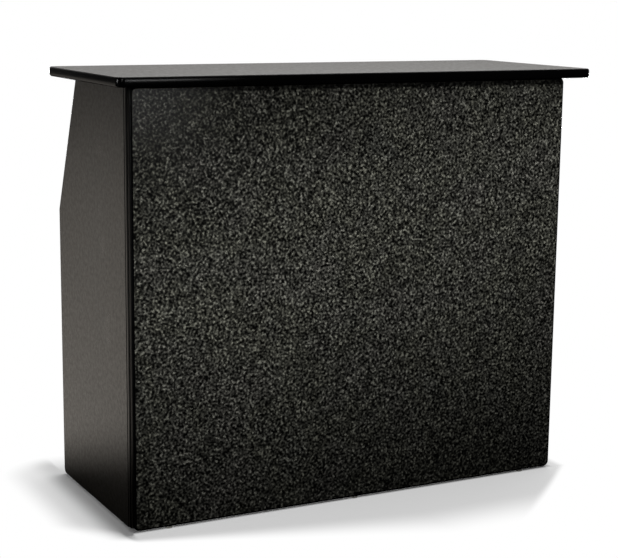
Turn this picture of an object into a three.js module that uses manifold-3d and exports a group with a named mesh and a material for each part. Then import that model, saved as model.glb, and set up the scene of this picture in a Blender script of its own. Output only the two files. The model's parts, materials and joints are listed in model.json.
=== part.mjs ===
// Folding portable bar. A stone-look front board stands on glides with a side board hinged behind each end,
// a counter lifts off its locating pins, and two shelves flip up against the front so the sides fold flat.
// Millimetres, +Z up, guests stand on the -Y side. The origin is on the floor at the middle of the footprint.

import * as THREE from 'three';
import { mergeVertices } from 'three/addons/utils/BufferGeometryUtils.js';
import Module from 'manifold-3d';

const wasm = await Module();
wasm.setup();

// Overall sizes
const BAR_HEIGHT = 1067;
const FRONT_WIDTH = 1186;
const SIDE_DEPTH = 510;
const SIDE_TOP_DEPTH = 365;
const SLOPE_START_HEIGHT = 703;
const COUNTER_DEPTH = 490;
const COUNTER_FRONT_OVERHANG = 52;
const COUNTER_SIDE_OVERHANG = 47;

// Laminated boards
const CORE_THICKNESS = 18;
const COUNTER_CORE_THICKNESS = 21;
const LAMINATE_THICKNESS = 0.9;
const GLUE_LINE = 0.1;
const FRONT_CORNER_RADIUS = 15;
const SIDE_CORNER_RADIUS = 12;
const SIDE_HINGE_CORNER_RADIUS = 3;
const COUNTER_CORNER_RADIUS = 18;
const SHARP_CORNER_RADIUS = 0.5;

// Moulded edging with a tongue that is driven into a groove round each board. The front and the counter
// have a thick rounded one, the sides and the shelves a thin flat one.
const EDGING_THICKNESS = 5.5;
const EDGING_ROUND = 4.6;
const FLAT_EDGING_THICKNESS = 2.5;
const FLAT_EDGING_ROUND = 1.2;
const TONGUE_DEPTH = 9;
const TONGUE_WIDTH = 2.4;

// Stiles that set the side hinges back and leave a pocket for the folded shelves
const STILE_DEPTH = 18;
const STILE_ROUND = 2;
const STILE_END_SETBACK = 4;

// Continuous hinges
const KNUCKLE_RADIUS = 3;
const HINGE_PIN_RADIUS = 1.2;
const LEAF_THICKNESS = 1.5;
const KNUCKLE_LENGTH = 70;
const KNUCKLE_GAP = 0.4;
const SIDE_HINGE_END_SETBACK = 39.35;
const SIDE_LEAF_WIDTH = 26;
const STILE_LEAF_MARGIN = 2;
const SHELF_HINGE_END_SETBACK = 54.7;
const SHELF_LEAF_MARGIN = 1.5;
const WALL_LEAF_WIDTH = 22;
const HINGE_SCREW_PITCH = 140;
const HINGE_SCREW_RADIUS = 1.8;
const HINGE_SINK_RADIUS = 3.1;

// Shelves, measured as they lie in use
const SHELF_THICKNESS = 18;
const SHELF_RISE = 2.5;
const SHELF_CORNER_RADIUS = 4;
const UPPER_SHELF_HEIGHT = 665;
const LOWER_SHELF_HEIGHT = 215;

// Cleats that carry the shelf ends
const CLEAT_WIDTH = 17;
const CLEAT_HEIGHT = 22;
const CLEAT_CHAMFER = 4;
const CLEAT_END_SETBACK = 12;

// Catches: flush magnets for the shelves, magnet blocks for the folded sides
const MAGNET_RADIUS = 9;
const MAGNET_DEPTH = 5;
const STRIKE_DISC_DEPTH = 2;
const SHELF_CATCH_SETBACK = 40;
const FOLD_CATCH_SETBACK = 52.8;
const FOLD_CATCH_HEIGHT = 110;
const FOLD_BLOCK_WIDTH = 44;
const FOLD_BLOCK_HEIGHT = 18;
const FOLD_BLOCK_CORNER = 3;
const STRIKE_THICKNESS = 1.2;
const STRIKE_MARGIN = 3;

// Counter pins and their sockets in the front board's top edge
const PIN_RADIUS = 4;
const PIN_REACH = 22;
const PIN_TIP = 3;
const PIN_ROOT = 11;
const PIN_END_SETBACK = 160;
const SOCKET_WALL = 1.5;
const SOCKET_FLOOR = 2;

// Glides
const GLIDE_HEIGHT = 5;
const GLIDE_RADIUS = 8;
const GLIDE_BEVEL = 1.5;
const GLIDE_SHANK_RADIUS = 1.5;
const GLIDE_SHANK_REACH = 14;
const FRONT_GLIDE_SETBACK = 90;
const SIDE_GLIDE_SETBACK = 60;

// Clearances
const SEAT = 0.3;
const SIDE_GAP = 1;
const SHELF_END_CLEARANCE = 2;
const UPPER_STOW_CLEARANCE = 31.5;
const LOWER_STOW_CLEARANCE = 12.2;
const LEAF_RELIEF = 0.5;
const FOLD_CATCH_GAP = 0.6;
const CUT_MARGIN = 2;

// Facets
const ARC_STEPS = 2;
const ROUND_SIDES = 12;
const KNUCKLE_SIDES = 8;
const SCREW_HOLE_SIDES = 8;

// Sizes that follow from the ones above
const SHEET = LAMINATE_THICKNESS + GLUE_LINE;
const BOARD = CORE_THICKNESS + 2 * SHEET;
const COUNTER_BOARD = COUNTER_CORE_THICKNESS + 2 * SHEET;
const ROUNDED = { thickness: EDGING_THICKNESS, round: EDGING_ROUND };
const FLAT = { thickness: FLAT_EDGING_THICKNESS, round: FLAT_EDGING_ROUND };
const HALF_WIDTH = FRONT_WIDTH / 2;
const COUNTER_UNDERSIDE = BAR_HEIGHT - COUNTER_BOARD;
const BOARD_TOP = COUNTER_UNDERSIDE - SEAT;
const HINGE_OFFSET = KNUCKLE_RADIUS + SEAT;
const SIDE_AXIS_X = HALF_WIDTH - BOARD - HINGE_OFFSET;
const SIDE_AXIS_Y = BOARD + STILE_DEPTH + SIDE_GAP / 2;
const SHELF_AXIS_Y = BOARD + HINGE_OFFSET;
const SHELF_LENGTH = 2 * (SIDE_AXIS_X - KNUCKLE_RADIUS - SHELF_END_CLEARANCE);
const UPPER_SHELF_AXIS_Z = UPPER_SHELF_HEIGHT - SHELF_RISE;
const LOWER_SHELF_AXIS_Z = LOWER_SHELF_HEIGHT - SHELF_RISE;
const UPPER_CLEAT_BOTTOM = UPPER_SHELF_HEIGHT - SHELF_THICKNESS - SEAT - CLEAT_HEIGHT;
const UPPER_SHELF_DEPTH = COUNTER_UNDERSIDE - UPPER_STOW_CLEARANCE - UPPER_SHELF_AXIS_Z;
const LOWER_SHELF_DEPTH = UPPER_CLEAT_BOTTOM - LOWER_STOW_CLEARANCE - LOWER_SHELF_AXIS_Z;
const SIDE_HINGE_LENGTH = BOARD_TOP - GLIDE_HEIGHT - 2 * SIDE_HINGE_END_SETBACK;
const SIDE_HINGE_LOW = GLIDE_HEIGHT + SIDE_HINGE_END_SETBACK;
const SHELF_HINGE_LENGTH = SHELF_LENGTH - 2 * SHELF_HINGE_END_SETBACK;
const SIDE_REACH = SIDE_DEPTH - SIDE_AXIS_Y;
const FOLD_CATCH_REACH = SIDE_REACH - FOLD_CATCH_SETBACK;
const FOLD_CATCH_X = SIDE_AXIS_X - FOLD_CATCH_REACH;
const PIN_X = HALF_WIDTH - PIN_END_SETBACK;
const FRONT_GLIDE_X = HALF_WIDTH - FRONT_GLIDE_SETBACK;
const FOLD_PLANE_Y = SIDE_AXIS_Y + HINGE_OFFSET;
const FOOTPRINT_MIDDLE_Y = (SIDE_DEPTH - COUNTER_FRONT_OVERHANG) / 2;
const SHELF_STOWED_ANGLE = Math.PI / 2;
const UPRIGHT = Math.PI / 2;

const FINISHES = {
  granite: { color: 0x2a2a28, roughness: 0.3, metalness: 0 },
  charcoal: { color: 0x3b3835, roughness: 0.45, metalness: 0 },
  lining: { color: 0x242322, roughness: 0.6, metalness: 0 },
  board: { color: 0xb08d61, roughness: 0.8, metalness: 0 },
  edging: { color: 0x101010, roughness: 0.25, metalness: 0 },
  stained_wood: { color: 0x1c1a18, roughness: 0.5, metalness: 0 },
  steel: { color: 0xb9bcc0, roughness: 0.3, metalness: 1 },
  magnet: { color: 0x8d9094, roughness: 0.35, metalness: 1 },
  black_plastic: { color: 0x161616, roughness: 0.5, metalness: 0 },
  nylon: { color: 0xd8d6cf, roughness: 0.5, metalness: 0 },
};

// Turns a closed three.js geometry into a solid that can be joined and cut.
function solid(geometry) {
  const bare = new THREE.BufferGeometry();
  bare.setAttribute('position', geometry.getAttribute('position'));
  bare.setIndex(geometry.getIndex());
  const welded = mergeVertices(bare, 1e-4);
  const index = welded.getIndex().array;
  const triangles = [];
  for (let i = 0; i < index.length; i += 3) {
    const [a, b, c] = [index[i], index[i + 1], index[i + 2]];
    if (a !== b && b !== c && c !== a) {
      triangles.push(a, b, c);
    }
  }
  return new wasm.Manifold(new wasm.Mesh({
    numProp: 3,
    vertProperties: Float32Array.from(welded.getAttribute('position').array),
    triVerts: Uint32Array.from(triangles),
  }));
}

// Turns a solid back into a geometry with flat faces.
function geometryOf(body) {
  const mesh = body.getMesh();
  const geometry = new THREE.BufferGeometry();
  geometry.setAttribute('position', new THREE.BufferAttribute(Float32Array.from(mesh.vertProperties), 3));
  geometry.setIndex(new THREE.BufferAttribute(Uint32Array.from(mesh.triVerts), 1));
  geometry.computeVertexNormals();
  return geometry;
}

function piece(name, body, finish) {
  const mesh = new THREE.Mesh(geometryOf(body), new THREE.MeshStandardMaterial(FINISHES[finish]));
  mesh.name = name;
  return mesh;
}

// Radius of a faceted hole that clears a round piece all the way round.
function holeRadius(radius, clearance, sides) {
  return (radius + clearance) / Math.cos(Math.PI / sides);
}

// Where two edges of an outline cross.
function crossing(first, second) {
  const apart = second.start.clone().sub(first.start);
  const reach = apart.cross(second.along) / first.along.cross(second.along);
  return first.start.clone().addScaledVector(first.along, reach);
}

// Outline of a convex board with rounded corners. Each corner is [u, v, radius], anticlockwise,
// and inset moves every edge inwards.
function boardOutline(corners, inset = 0) {
  const count = corners.length;
  const edges = corners.map(([u, v], i) => {
    const start = new THREE.Vector2(u, v);
    const [nextU, nextV] = corners[(i + 1) % count];
    const along = new THREE.Vector2(nextU, nextV).sub(start).normalize();
    return { start, along, inward: new THREE.Vector2(-along.y, along.x) };
  });
  const moved = (edge, distance) => ({
    start: edge.start.clone().addScaledVector(edge.inward, distance),
    along: edge.along,
  });
  const shape = new THREE.Shape();
  corners.forEach(([, , radius], i) => {
    const before = edges[(i + count - 1) % count];
    const after = edges[i];
    const round = Math.max(radius - inset, SHARP_CORNER_RADIUS);
    const centre = crossing(moved(before, inset + round), moved(after, inset + round));
    const startAngle = Math.atan2(-before.inward.y, -before.inward.x);
    const endAngle = Math.atan2(-after.inward.y, -after.inward.x);
    shape.absarc(centre.x, centre.y, round, startAngle, endAngle, false);
  });
  return shape;
}

function rectangle(uLow, uHigh, vLow, vHigh, radius) {
  return [[uLow, vLow, radius], [uHigh, vLow, radius], [uHigh, vHigh, radius], [uLow, vHigh, radius]];
}

// Flat plate of an outline between two levels of its own z.
function plate(outline, low, high) {
  const settings = { depth: high - low, bevelEnabled: false, curveSegments: ARC_STEPS };
  return solid(new THREE.ExtrudeGeometry(outline, settings).translate(0, 0, low));
}

// Plate with rounded rims on both faces.
function crownedPlate(outline, thickness, round) {
  const settings = {
    depth: thickness - 2 * round,
    bevelThickness: round,
    bevelSize: round,
    bevelOffset: -round,
    bevelSegments: 2,
    curveSegments: ARC_STEPS,
  };
  return solid(new THREE.ExtrudeGeometry(outline, settings).translate(0, 0, round));
}

// Flat loop that follows a board's edge between two insets, centred on the board's thickness.
function edgeLoop(corners, thickness, outerInset, innerInset, width) {
  const low = (thickness - width) / 2;
  const outer = plate(boardOutline(corners, outerInset), low, low + width);
  return outer.subtract(plate(boardOutline(corners, innerInset), low - CUT_MARGIN, low + width + CUT_MARGIN));
}

function box(low, high) {
  const size = high.map((value, i) => value - low[i]);
  const centre = high.map((value, i) => (value + low[i]) / 2);
  return solid(new THREE.BoxGeometry(...size).translate(...centre));
}

// Round bar along Y between two levels.
function barAlongY(radius, x, yLow, yHigh, z, sides = ROUND_SIDES) {
  const bar = new THREE.CylinderGeometry(radius, radius, yHigh - yLow, sides);
  return solid(bar.translate(x, (yLow + yHigh) / 2, z));
}

// Round bar along Z between two levels.
function barAlongZ(radius, x, y, zLow, zHigh, sides = ROUND_SIDES) {
  const bar = new THREE.CylinderGeometry(radius, radius, zHigh - zLow, sides).rotateX(UPRIGHT);
  return solid(bar.translate(x, y, (zLow + zHigh) / 2));
}

// Turned piece from [radius, height] points that run up its outside and end on the axis.
function turned(profile) {
  const points = profile.map(([radius, height]) => new THREE.Vector2(radius, height));
  return solid(new THREE.LatheGeometry(points, ROUND_SIDES));
}

// Core, two laminate sheets and grooved-in edging of one board, lying in its own XY plane.
function laminatedBoard(corners, thickness, edging) {
  const faceOutline = boardOutline(corners, edging.thickness + SEAT);
  const tongueEnd = edging.thickness + TONGUE_DEPTH;
  const groove = edgeLoop(corners, thickness, -CUT_MARGIN, tongueEnd + SEAT, TONGUE_WIDTH + 2 * SEAT);
  const tongue = edgeLoop(corners, thickness, edging.round, tongueEnd, TONGUE_WIDTH);
  const window = plate(boardOutline(corners, edging.thickness), -CUT_MARGIN, thickness + CUT_MARGIN);
  const strip = crownedPlate(boardOutline(corners), thickness, edging.round);
  return {
    core: plate(faceOutline, SHEET, thickness - SHEET).subtract(groove),
    lowSheet: plate(faceOutline, 0, LAMINATE_THICKNESS),
    highSheet: plate(faceOutline, thickness - LAMINATE_THICKNESS, thickness),
    edging: strip.subtract(window).add(tongue),
  };
}

// Laminated board that stands on glides, with bores for their shanks at the given places along its foot.
function standingBoard(corners, glidePlaces, edging) {
  const board = laminatedBoard(corners, BOARD, edging);
  const bore = holeRadius(GLIDE_SHANK_RADIUS, SEAT, ROUND_SIDES);
  for (const place of glidePlaces) {
    const top = GLIDE_HEIGHT + GLIDE_SHANK_REACH + SEAT;
    const shankHole = barAlongY(bore, place, 0, top, BOARD / 2);
    board.core = board.core.subtract(shankHole);
    board.edging = board.edging.subtract(shankHole);
  }
  return board;
}

function glide(name) {
  const seatLevel = GLIDE_HEIGHT - SEAT;
  const body = turned([
    [0, 0],
    [GLIDE_RADIUS - GLIDE_BEVEL, 0],
    [GLIDE_RADIUS, GLIDE_BEVEL],
    [GLIDE_RADIUS, seatLevel],
    [GLIDE_SHANK_RADIUS, seatLevel],
    [GLIDE_SHANK_RADIUS, GLIDE_HEIGHT + GLIDE_SHANK_REACH],
    [0, GLIDE_HEIGHT + GLIDE_SHANK_REACH],
  ]);
  const mesh = piece(name, body, 'nylon');
  mesh.rotation.x = UPRIGHT;
  return mesh;
}

// How many knuckles a hinge has, always odd so that both ends belong to the fixed leaf.
function knuckleCount(length) {
  return 2 * Math.floor(length / KNUCKLE_LENGTH / 2) + 1;
}

// Countersunk hole through a leaf on the given side of its pin, widest at the open face.
function screwHole(wall, y, z) {
  const over = LEAF_THICKNESS / 4;
  const flare = (HINGE_SINK_RADIUS - HINGE_SCREW_RADIUS) * over / LEAF_THICKNESS;
  const narrow = HINGE_SCREW_RADIUS - flare;
  const wide = HINGE_SINK_RADIUS + flare;
  const cone = new THREE.CylinderGeometry(narrow, wide, LEAF_THICKNESS + 2 * over, SCREW_HOLE_SIDES);
  return solid(cone.rotateZ(-wall * UPRIGHT).translate(wall * (KNUCKLE_RADIUS - LEAF_THICKNESS / 2), y, z));
}

// One leaf of a continuous hinge whose pin runs up the Z axis. The leaf lies on the wall side of the
// axis in X, spreads from it in Y, and owns every second knuckle from the first one named.
function hingeLeaf({ length, width, wall, spread, firstKnuckle }) {
  const count = knuckleCount(length);
  const pitch = length / count;
  const relief = KNUCKLE_RADIUS + LEAF_RELIEF;
  const strip = (yNear, yFar, zLow, zHigh) => {
    const xs = [wall * KNUCKLE_RADIUS, wall * (KNUCKLE_RADIUS - LEAF_THICKNESS)];
    const ys = [spread * yNear, spread * yFar];
    return box([Math.min(...xs), Math.min(...ys), zLow], [Math.max(...xs), Math.max(...ys), zHigh]);
  };
  let leaf = strip(relief, width, 0, length);
  for (let k = firstKnuckle; k < count; k += 2) {
    const low = k * pitch + KNUCKLE_GAP / 2;
    const high = (k + 1) * pitch - KNUCKLE_GAP / 2;
    leaf = leaf.add(strip(0, relief + LEAF_THICKNESS, low, high));
    leaf = leaf.add(barAlongZ(KNUCKLE_RADIUS, 0, 0, low, high, KNUCKLE_SIDES));
  }
  const screws = Math.round(length / HINGE_SCREW_PITCH);
  for (let k = 0; k < screws; k += 1) {
    leaf = leaf.subtract(screwHole(wall, spread * (relief + width) / 2, (k + 0.5) * length / screws));
  }
  const bore = holeRadius(HINGE_PIN_RADIUS, SEAT, KNUCKLE_SIDES);
  return leaf.subtract(barAlongZ(bore, 0, 0, -CUT_MARGIN, length + CUT_MARGIN, KNUCKLE_SIDES));
}

function hingePin(length) {
  return barAlongZ(HINGE_PIN_RADIUS, 0, 0, 0, length, KNUCKLE_SIDES);
}

// Turns a board's own axes so that it stands across the bar: own x runs along X and own y up.
function standAcross(mesh, y) {
  mesh.rotation.x = UPRIGHT;
  mesh.position.y = y;
  return mesh;
}

// Turns own x rearwards, own y up and own z along X, for the side boards and the shelf hinges.
function standLengthwise(mesh, x) {
  mesh.rotation.set(UPRIGHT, UPRIGHT, 0);
  mesh.position.x = x;
  return mesh;
}

const HANDS = [
  { name: 'left', sign: -1 },
  { name: 'right', sign: 1 },
];
const SHELVES = [
  { name: 'upper', axisZ: UPPER_SHELF_AXIS_Z, depth: UPPER_SHELF_DEPTH },
  { name: 'lower', axisZ: LOWER_SHELF_AXIS_Z, depth: LOWER_SHELF_DEPTH },
];

function frontBoard() {
  const glidePlaces = [-FRONT_GLIDE_X, 0, FRONT_GLIDE_X];
  const corners = rectangle(-HALF_WIDTH, HALF_WIDTH, GLIDE_HEIGHT, BOARD_TOP, FRONT_CORNER_RADIUS);
  const board = standingBoard(corners, glidePlaces, ROUNDED);
  const group = new THREE.Group();

  const socketRadius = PIN_RADIUS + SEAT + SOCKET_WALL;
  const socketBottom = BOARD_TOP - PIN_REACH - SOCKET_FLOOR;
  const socketBore = holeRadius(socketRadius, SEAT, ROUND_SIDES);
  for (const { name, sign } of HANDS) {
    const hole = barAlongY(socketBore, sign * PIN_X, socketBottom - SEAT, BOARD_TOP + CUT_MARGIN, BOARD / 2);
    board.core = board.core.subtract(hole);
    board.edging = board.edging.subtract(hole);
    group.add(counterSocket(`${name}_counter_socket`, sign * PIN_X, socketRadius, socketBottom));
  }

  const recess = holeRadius(MAGNET_RADIUS, SEAT, ROUND_SIDES);
  for (const { name, axisZ, depth } of SHELVES) {
    const level = axisZ + depth - SHELF_CATCH_SETBACK;
    const hole = barAlongZ(recess, 0, level, -CUT_MARGIN, MAGNET_DEPTH + SEAT);
    board.core = board.core.subtract(hole);
    board.lowSheet = board.lowSheet.subtract(hole);
    const magnet = barAlongZ(MAGNET_RADIUS, 0, level, 0, MAGNET_DEPTH);
    group.add(standAcross(piece(`${name}_shelf_magnet`, magnet, 'magnet'), BOARD));
  }

  group.add(standAcross(piece('front_core', board.core, 'board'), BOARD));
  group.add(standAcross(piece('front_facing', board.highSheet, 'granite'), BOARD));
  group.add(standAcross(piece('front_lining', board.lowSheet, 'lining'), BOARD));
  group.add(standAcross(piece('front_edging', board.edging, 'edging'), BOARD));
  ['left', 'middle', 'right'].forEach((name, i) => {
    const foot = glide(`front_${name}_glide`);
    foot.position.set(glidePlaces[i], BOARD / 2, 0);
    group.add(foot);
  });
  return group;
}

// Cup in the top edge that takes one of the counter's pins.
function counterSocket(name, x, radius, bottom) {
  const bore = holeRadius(PIN_RADIUS, SEAT, ROUND_SIDES);
  const body = turned([
    [0, bottom],
    [radius, bottom],
    [radius, BOARD_TOP],
    [bore, BOARD_TOP],
    [bore, bottom + SOCKET_FLOOR - SEAT],
    [0, bottom + SOCKET_FLOOR - SEAT],
  ]);
  const mesh = piece(name, body, 'steel');
  mesh.rotation.x = UPRIGHT;
  mesh.position.set(x, BOARD / 2, 0);
  return mesh;
}

// Stile behind one end of the front, with the fixed hinge leaf on its inner face and the hinge pin.
function stile({ name, sign }) {
  const group = new THREE.Group();
  const ends = [sign * HALF_WIDTH, sign * (HALF_WIDTH - BOARD)];
  const yHigh = BOARD + STILE_DEPTH;
  const section = rectangle(Math.min(...ends), Math.max(...ends), BOARD + SEAT, yHigh, STILE_ROUND);
  const foot = GLIDE_HEIGHT + STILE_END_SETBACK;
  const batten = plate(boardOutline(section), foot, BOARD_TOP - STILE_END_SETBACK);
  group.add(piece(`${name}_stile`, batten, 'stained_wood'));

  const leaf = hingeLeaf({
    length: SIDE_HINGE_LENGTH,
    width: STILE_DEPTH - STILE_LEAF_MARGIN,
    wall: sign,
    spread: -1,
    firstKnuckle: 0,
  });
  const parts = [
    piece(`${name}_stile_leaf`, leaf, 'steel'),
    piece(`${name}_hinge_pin`, hingePin(SIDE_HINGE_LENGTH), 'steel'),
  ];
  for (const part of parts) {
    part.position.set(sign * SIDE_AXIS_X, SIDE_AXIS_Y, SIDE_HINGE_LOW);
    group.add(part);
  }
  return group;
}

// Fixed leaf and pin of one shelf's hinge on the back of the front board.
function shelfHinge({ name, axisZ }) {
  const group = new THREE.Group();
  const leaf = hingeLeaf({
    length: SHELF_HINGE_LENGTH,
    width: WALL_LEAF_WIDTH,
    wall: -1,
    spread: -1,
    firstKnuckle: 0,
  });
  group.add(standLengthwise(piece(`${name}_shelf_wall_leaf`, leaf, 'steel'), -SHELF_HINGE_LENGTH / 2));
  const pin = piece(`${name}_shelf_hinge_pin`, hingePin(SHELF_HINGE_LENGTH), 'steel');
  group.add(standLengthwise(pin, -SHELF_HINGE_LENGTH / 2));
  group.position.set(0, SHELF_AXIS_Y, axisZ);
  return group;
}

// Block on the back of the front board that a folded side's strike plate meets.
function foldBlock({ name, sign }) {
  const reach = FOLD_PLANE_Y - BOARD - SEAT - STRIKE_THICKNESS - FOLD_CATCH_GAP;
  const x = sign * FOLD_CATCH_X;
  const outline = boardOutline(rectangle(
    x - FOLD_BLOCK_WIDTH / 2,
    x + FOLD_BLOCK_WIDTH / 2,
    FOLD_CATCH_HEIGHT - FOLD_BLOCK_HEIGHT / 2,
    FOLD_CATCH_HEIGHT + FOLD_BLOCK_HEIGHT / 2,
    FOLD_BLOCK_CORNER,
  ));
  return standAcross(piece(`${name}_fold_magnet`, plate(outline, -reach, -SEAT), 'black_plastic'), BOARD);
}

// Side board with its moving hinge leaf, shelf cleats, strike plate and glides. The group turns on its hinge.
function side({ name, sign }) {
  const group = new THREE.Group();
  group.position.set(sign * SIDE_AXIS_X, SIDE_AXIS_Y, 0);
  const frontEdge = SIDE_GAP / 2;
  const topRear = SIDE_TOP_DEPTH - SIDE_AXIS_Y;
  const glidePlaces = [frontEdge + SIDE_GLIDE_SETBACK, SIDE_REACH - SIDE_GLIDE_SETBACK];
  const board = standingBoard([
    [frontEdge, GLIDE_HEIGHT, SIDE_HINGE_CORNER_RADIUS],
    [SIDE_REACH, GLIDE_HEIGHT, SIDE_CORNER_RADIUS],
    [SIDE_REACH, SLOPE_START_HEIGHT, SIDE_CORNER_RADIUS],
    [topRear, BOARD_TOP, SIDE_CORNER_RADIUS],
    [frontEdge, BOARD_TOP, SIDE_HINGE_CORNER_RADIUS],
  ], glidePlaces, FLAT);
  const outerSheet = sign < 0 ? board.lowSheet : board.highSheet;
  const innerSheet = sign < 0 ? board.highSheet : board.lowSheet;
  const boardX = sign < 0 ? -HINGE_OFFSET - BOARD : HINGE_OFFSET;
  group.add(standLengthwise(piece(`${name}_side_core`, board.core, 'board'), boardX));
  group.add(standLengthwise(piece(`${name}_side_facing`, outerSheet, 'charcoal'), boardX));
  group.add(standLengthwise(piece(`${name}_side_lining`, innerSheet, 'lining'), boardX));
  group.add(standLengthwise(piece(`${name}_side_edging`, board.edging, 'edging'), boardX));

  const leaf = piece(`${name}_side_leaf`, hingeLeaf({
    length: SIDE_HINGE_LENGTH,
    width: SIDE_LEAF_WIDTH,
    wall: sign,
    spread: 1,
    firstKnuckle: 1,
  }), 'steel');
  leaf.position.z = SIDE_HINGE_LOW;
  group.add(leaf);

  for (const shelf of SHELVES) {
    group.add(cleat(`${name}_${shelf.name}_cleat`, sign, shelf));
  }
  group.add(strikePlate(`${name}_fold_strike`, sign));
  ['front', 'rear'].forEach((end, i) => {
    const foot = glide(`${name}_side_${end}_glide`);
    foot.position.set(sign * (HINGE_OFFSET + BOARD / 2), glidePlaces[i], 0);
    group.add(foot);
  });
  return group;
}

// Bearer on a side's inner face, chamfered below, whose top meets the lowered shelf's underside.
function cleat(name, sign, { axisZ, depth }) {
  const top = axisZ + SHELF_RISE - SHELF_THICKNESS - SEAT;
  const bottom = top - CLEAT_HEIGHT;
  const root = sign * KNUCKLE_RADIUS;
  const nose = sign * (KNUCKLE_RADIUS - CLEAT_WIDTH);
  const section = new THREE.Shape([
    new THREE.Vector2(root, bottom),
    new THREE.Vector2(root, top),
    new THREE.Vector2(nose, top),
    new THREE.Vector2(nose, bottom + CLEAT_CHAMFER),
    new THREE.Vector2(nose + sign * CLEAT_CHAMFER, bottom),
  ]);
  const start = SIDE_LEAF_WIDTH + CLEAT_END_SETBACK;
  const end = SHELF_AXIS_Y + depth - SIDE_AXIS_Y - CLEAT_END_SETBACK;
  const mesh = piece(name, plate(section, -end, -start), 'stained_wood');
  mesh.rotation.x = UPRIGHT;
  return mesh;
}

// Steel plate on a side's inner face that meets the magnet block when the side is folded.
function strikePlate(name, sign) {
  const halfLength = FOLD_BLOCK_WIDTH / 2 - STRIKE_MARGIN;
  const halfHeight = FOLD_BLOCK_HEIGHT / 2 - STRIKE_MARGIN;
  const outline = boardOutline(rectangle(
    FOLD_CATCH_REACH - halfLength,
    FOLD_CATCH_REACH + halfLength,
    FOLD_CATCH_HEIGHT - halfHeight,
    FOLD_CATCH_HEIGHT + halfHeight,
    FOLD_BLOCK_CORNER,
  ));
  const faceX = sign * KNUCKLE_RADIUS;
  const x = Math.min(faceX, faceX - sign * STRIKE_THICKNESS);
  return standLengthwise(piece(name, plate(outline, 0, STRIKE_THICKNESS), 'steel'), x);
}

// Shelf drawn as it lies in use and turned up about its hinge to stow behind the front.
function shelf({ name, axisZ, depth }) {
  const group = new THREE.Group();
  group.position.set(0, SHELF_AXIS_Y, axisZ);
  group.rotation.x = SHELF_STOWED_ANGLE;
  const half = SHELF_LENGTH / 2;
  const frontEdge = HINGE_OFFSET;
  const boardRear = depth - FLAT.thickness - SEAT;
  const underside = SHELF_RISE - SHELF_THICKNESS;
  const middle = (SHELF_RISE + underside) / 2;
  const catchY = depth - SHELF_CATCH_SETBACK;
  const grooveHalf = TONGUE_WIDTH / 2 + SEAT;
  const grooveFloor = depth - FLAT.thickness - TONGUE_DEPTH - SEAT;
  const groove = box(
    [-half - CUT_MARGIN, grooveFloor, middle - grooveHalf],
    [half + CUT_MARGIN, depth, middle + grooveHalf],
  );
  const recess = barAlongZ(
    holeRadius(MAGNET_RADIUS, SEAT, ROUND_SIDES),
    0,
    catchY,
    SHELF_RISE - STRIKE_DISC_DEPTH - SEAT,
    SHELF_RISE + CUT_MARGIN,
  );
  const outline = boardOutline(rectangle(-half, half, frontEdge, boardRear, SHELF_CORNER_RADIUS));
  const board = plate(outline, underside, SHELF_RISE).subtract(groove).subtract(recess);
  group.add(piece(`${name}_shelf_board`, board, 'lining'));
  group.add(shelfNosing(`${name}_shelf_nosing`, depth, middle));
  const disc = barAlongZ(MAGNET_RADIUS, 0, catchY, SHELF_RISE - STRIKE_DISC_DEPTH, SHELF_RISE);
  group.add(piece(`${name}_shelf_strike`, disc, 'steel'));

  const leaf = hingeLeaf({
    length: SHELF_HINGE_LENGTH,
    width: -underside - SHELF_LEAF_MARGIN,
    wall: 1,
    spread: -1,
    firstKnuckle: 1,
  });
  group.add(standLengthwise(piece(`${name}_shelf_leaf`, leaf, 'steel'), -SHELF_HINGE_LENGTH / 2));
  return group;
}

// Crowned strip along a shelf's rear edge, with its tongue in the board's groove.
function shelfNosing(name, depth, middle) {
  const half = SHELF_LENGTH / 2;
  const faceHalf = SHELF_THICKNESS / 2;
  const root = depth - FLAT.thickness;
  const tongueEnd = root - TONGUE_DEPTH;
  const tongueHalf = TONGUE_WIDTH / 2;
  const section = new THREE.Shape();
  section.moveTo(tongueEnd, -tongueHalf);
  section.lineTo(root, -tongueHalf);
  section.lineTo(root, -faceHalf);
  section.lineTo(depth - FLAT.round, -faceHalf);
  section.absarc(depth - FLAT.round, FLAT.round - faceHalf, FLAT.round, -Math.PI / 2, 0, false);
  section.absarc(depth - FLAT.round, faceHalf - FLAT.round, FLAT.round, 0, Math.PI / 2, false);
  section.lineTo(root, faceHalf);
  section.lineTo(root, tongueHalf);
  section.lineTo(tongueEnd, tongueHalf);
  const inset = SHELF_CORNER_RADIUS;
  const mesh = piece(name, plate(section, -half + inset, half - inset), 'edging');
  mesh.position.z = middle;
  return standLengthwise(mesh, 0);
}

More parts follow.
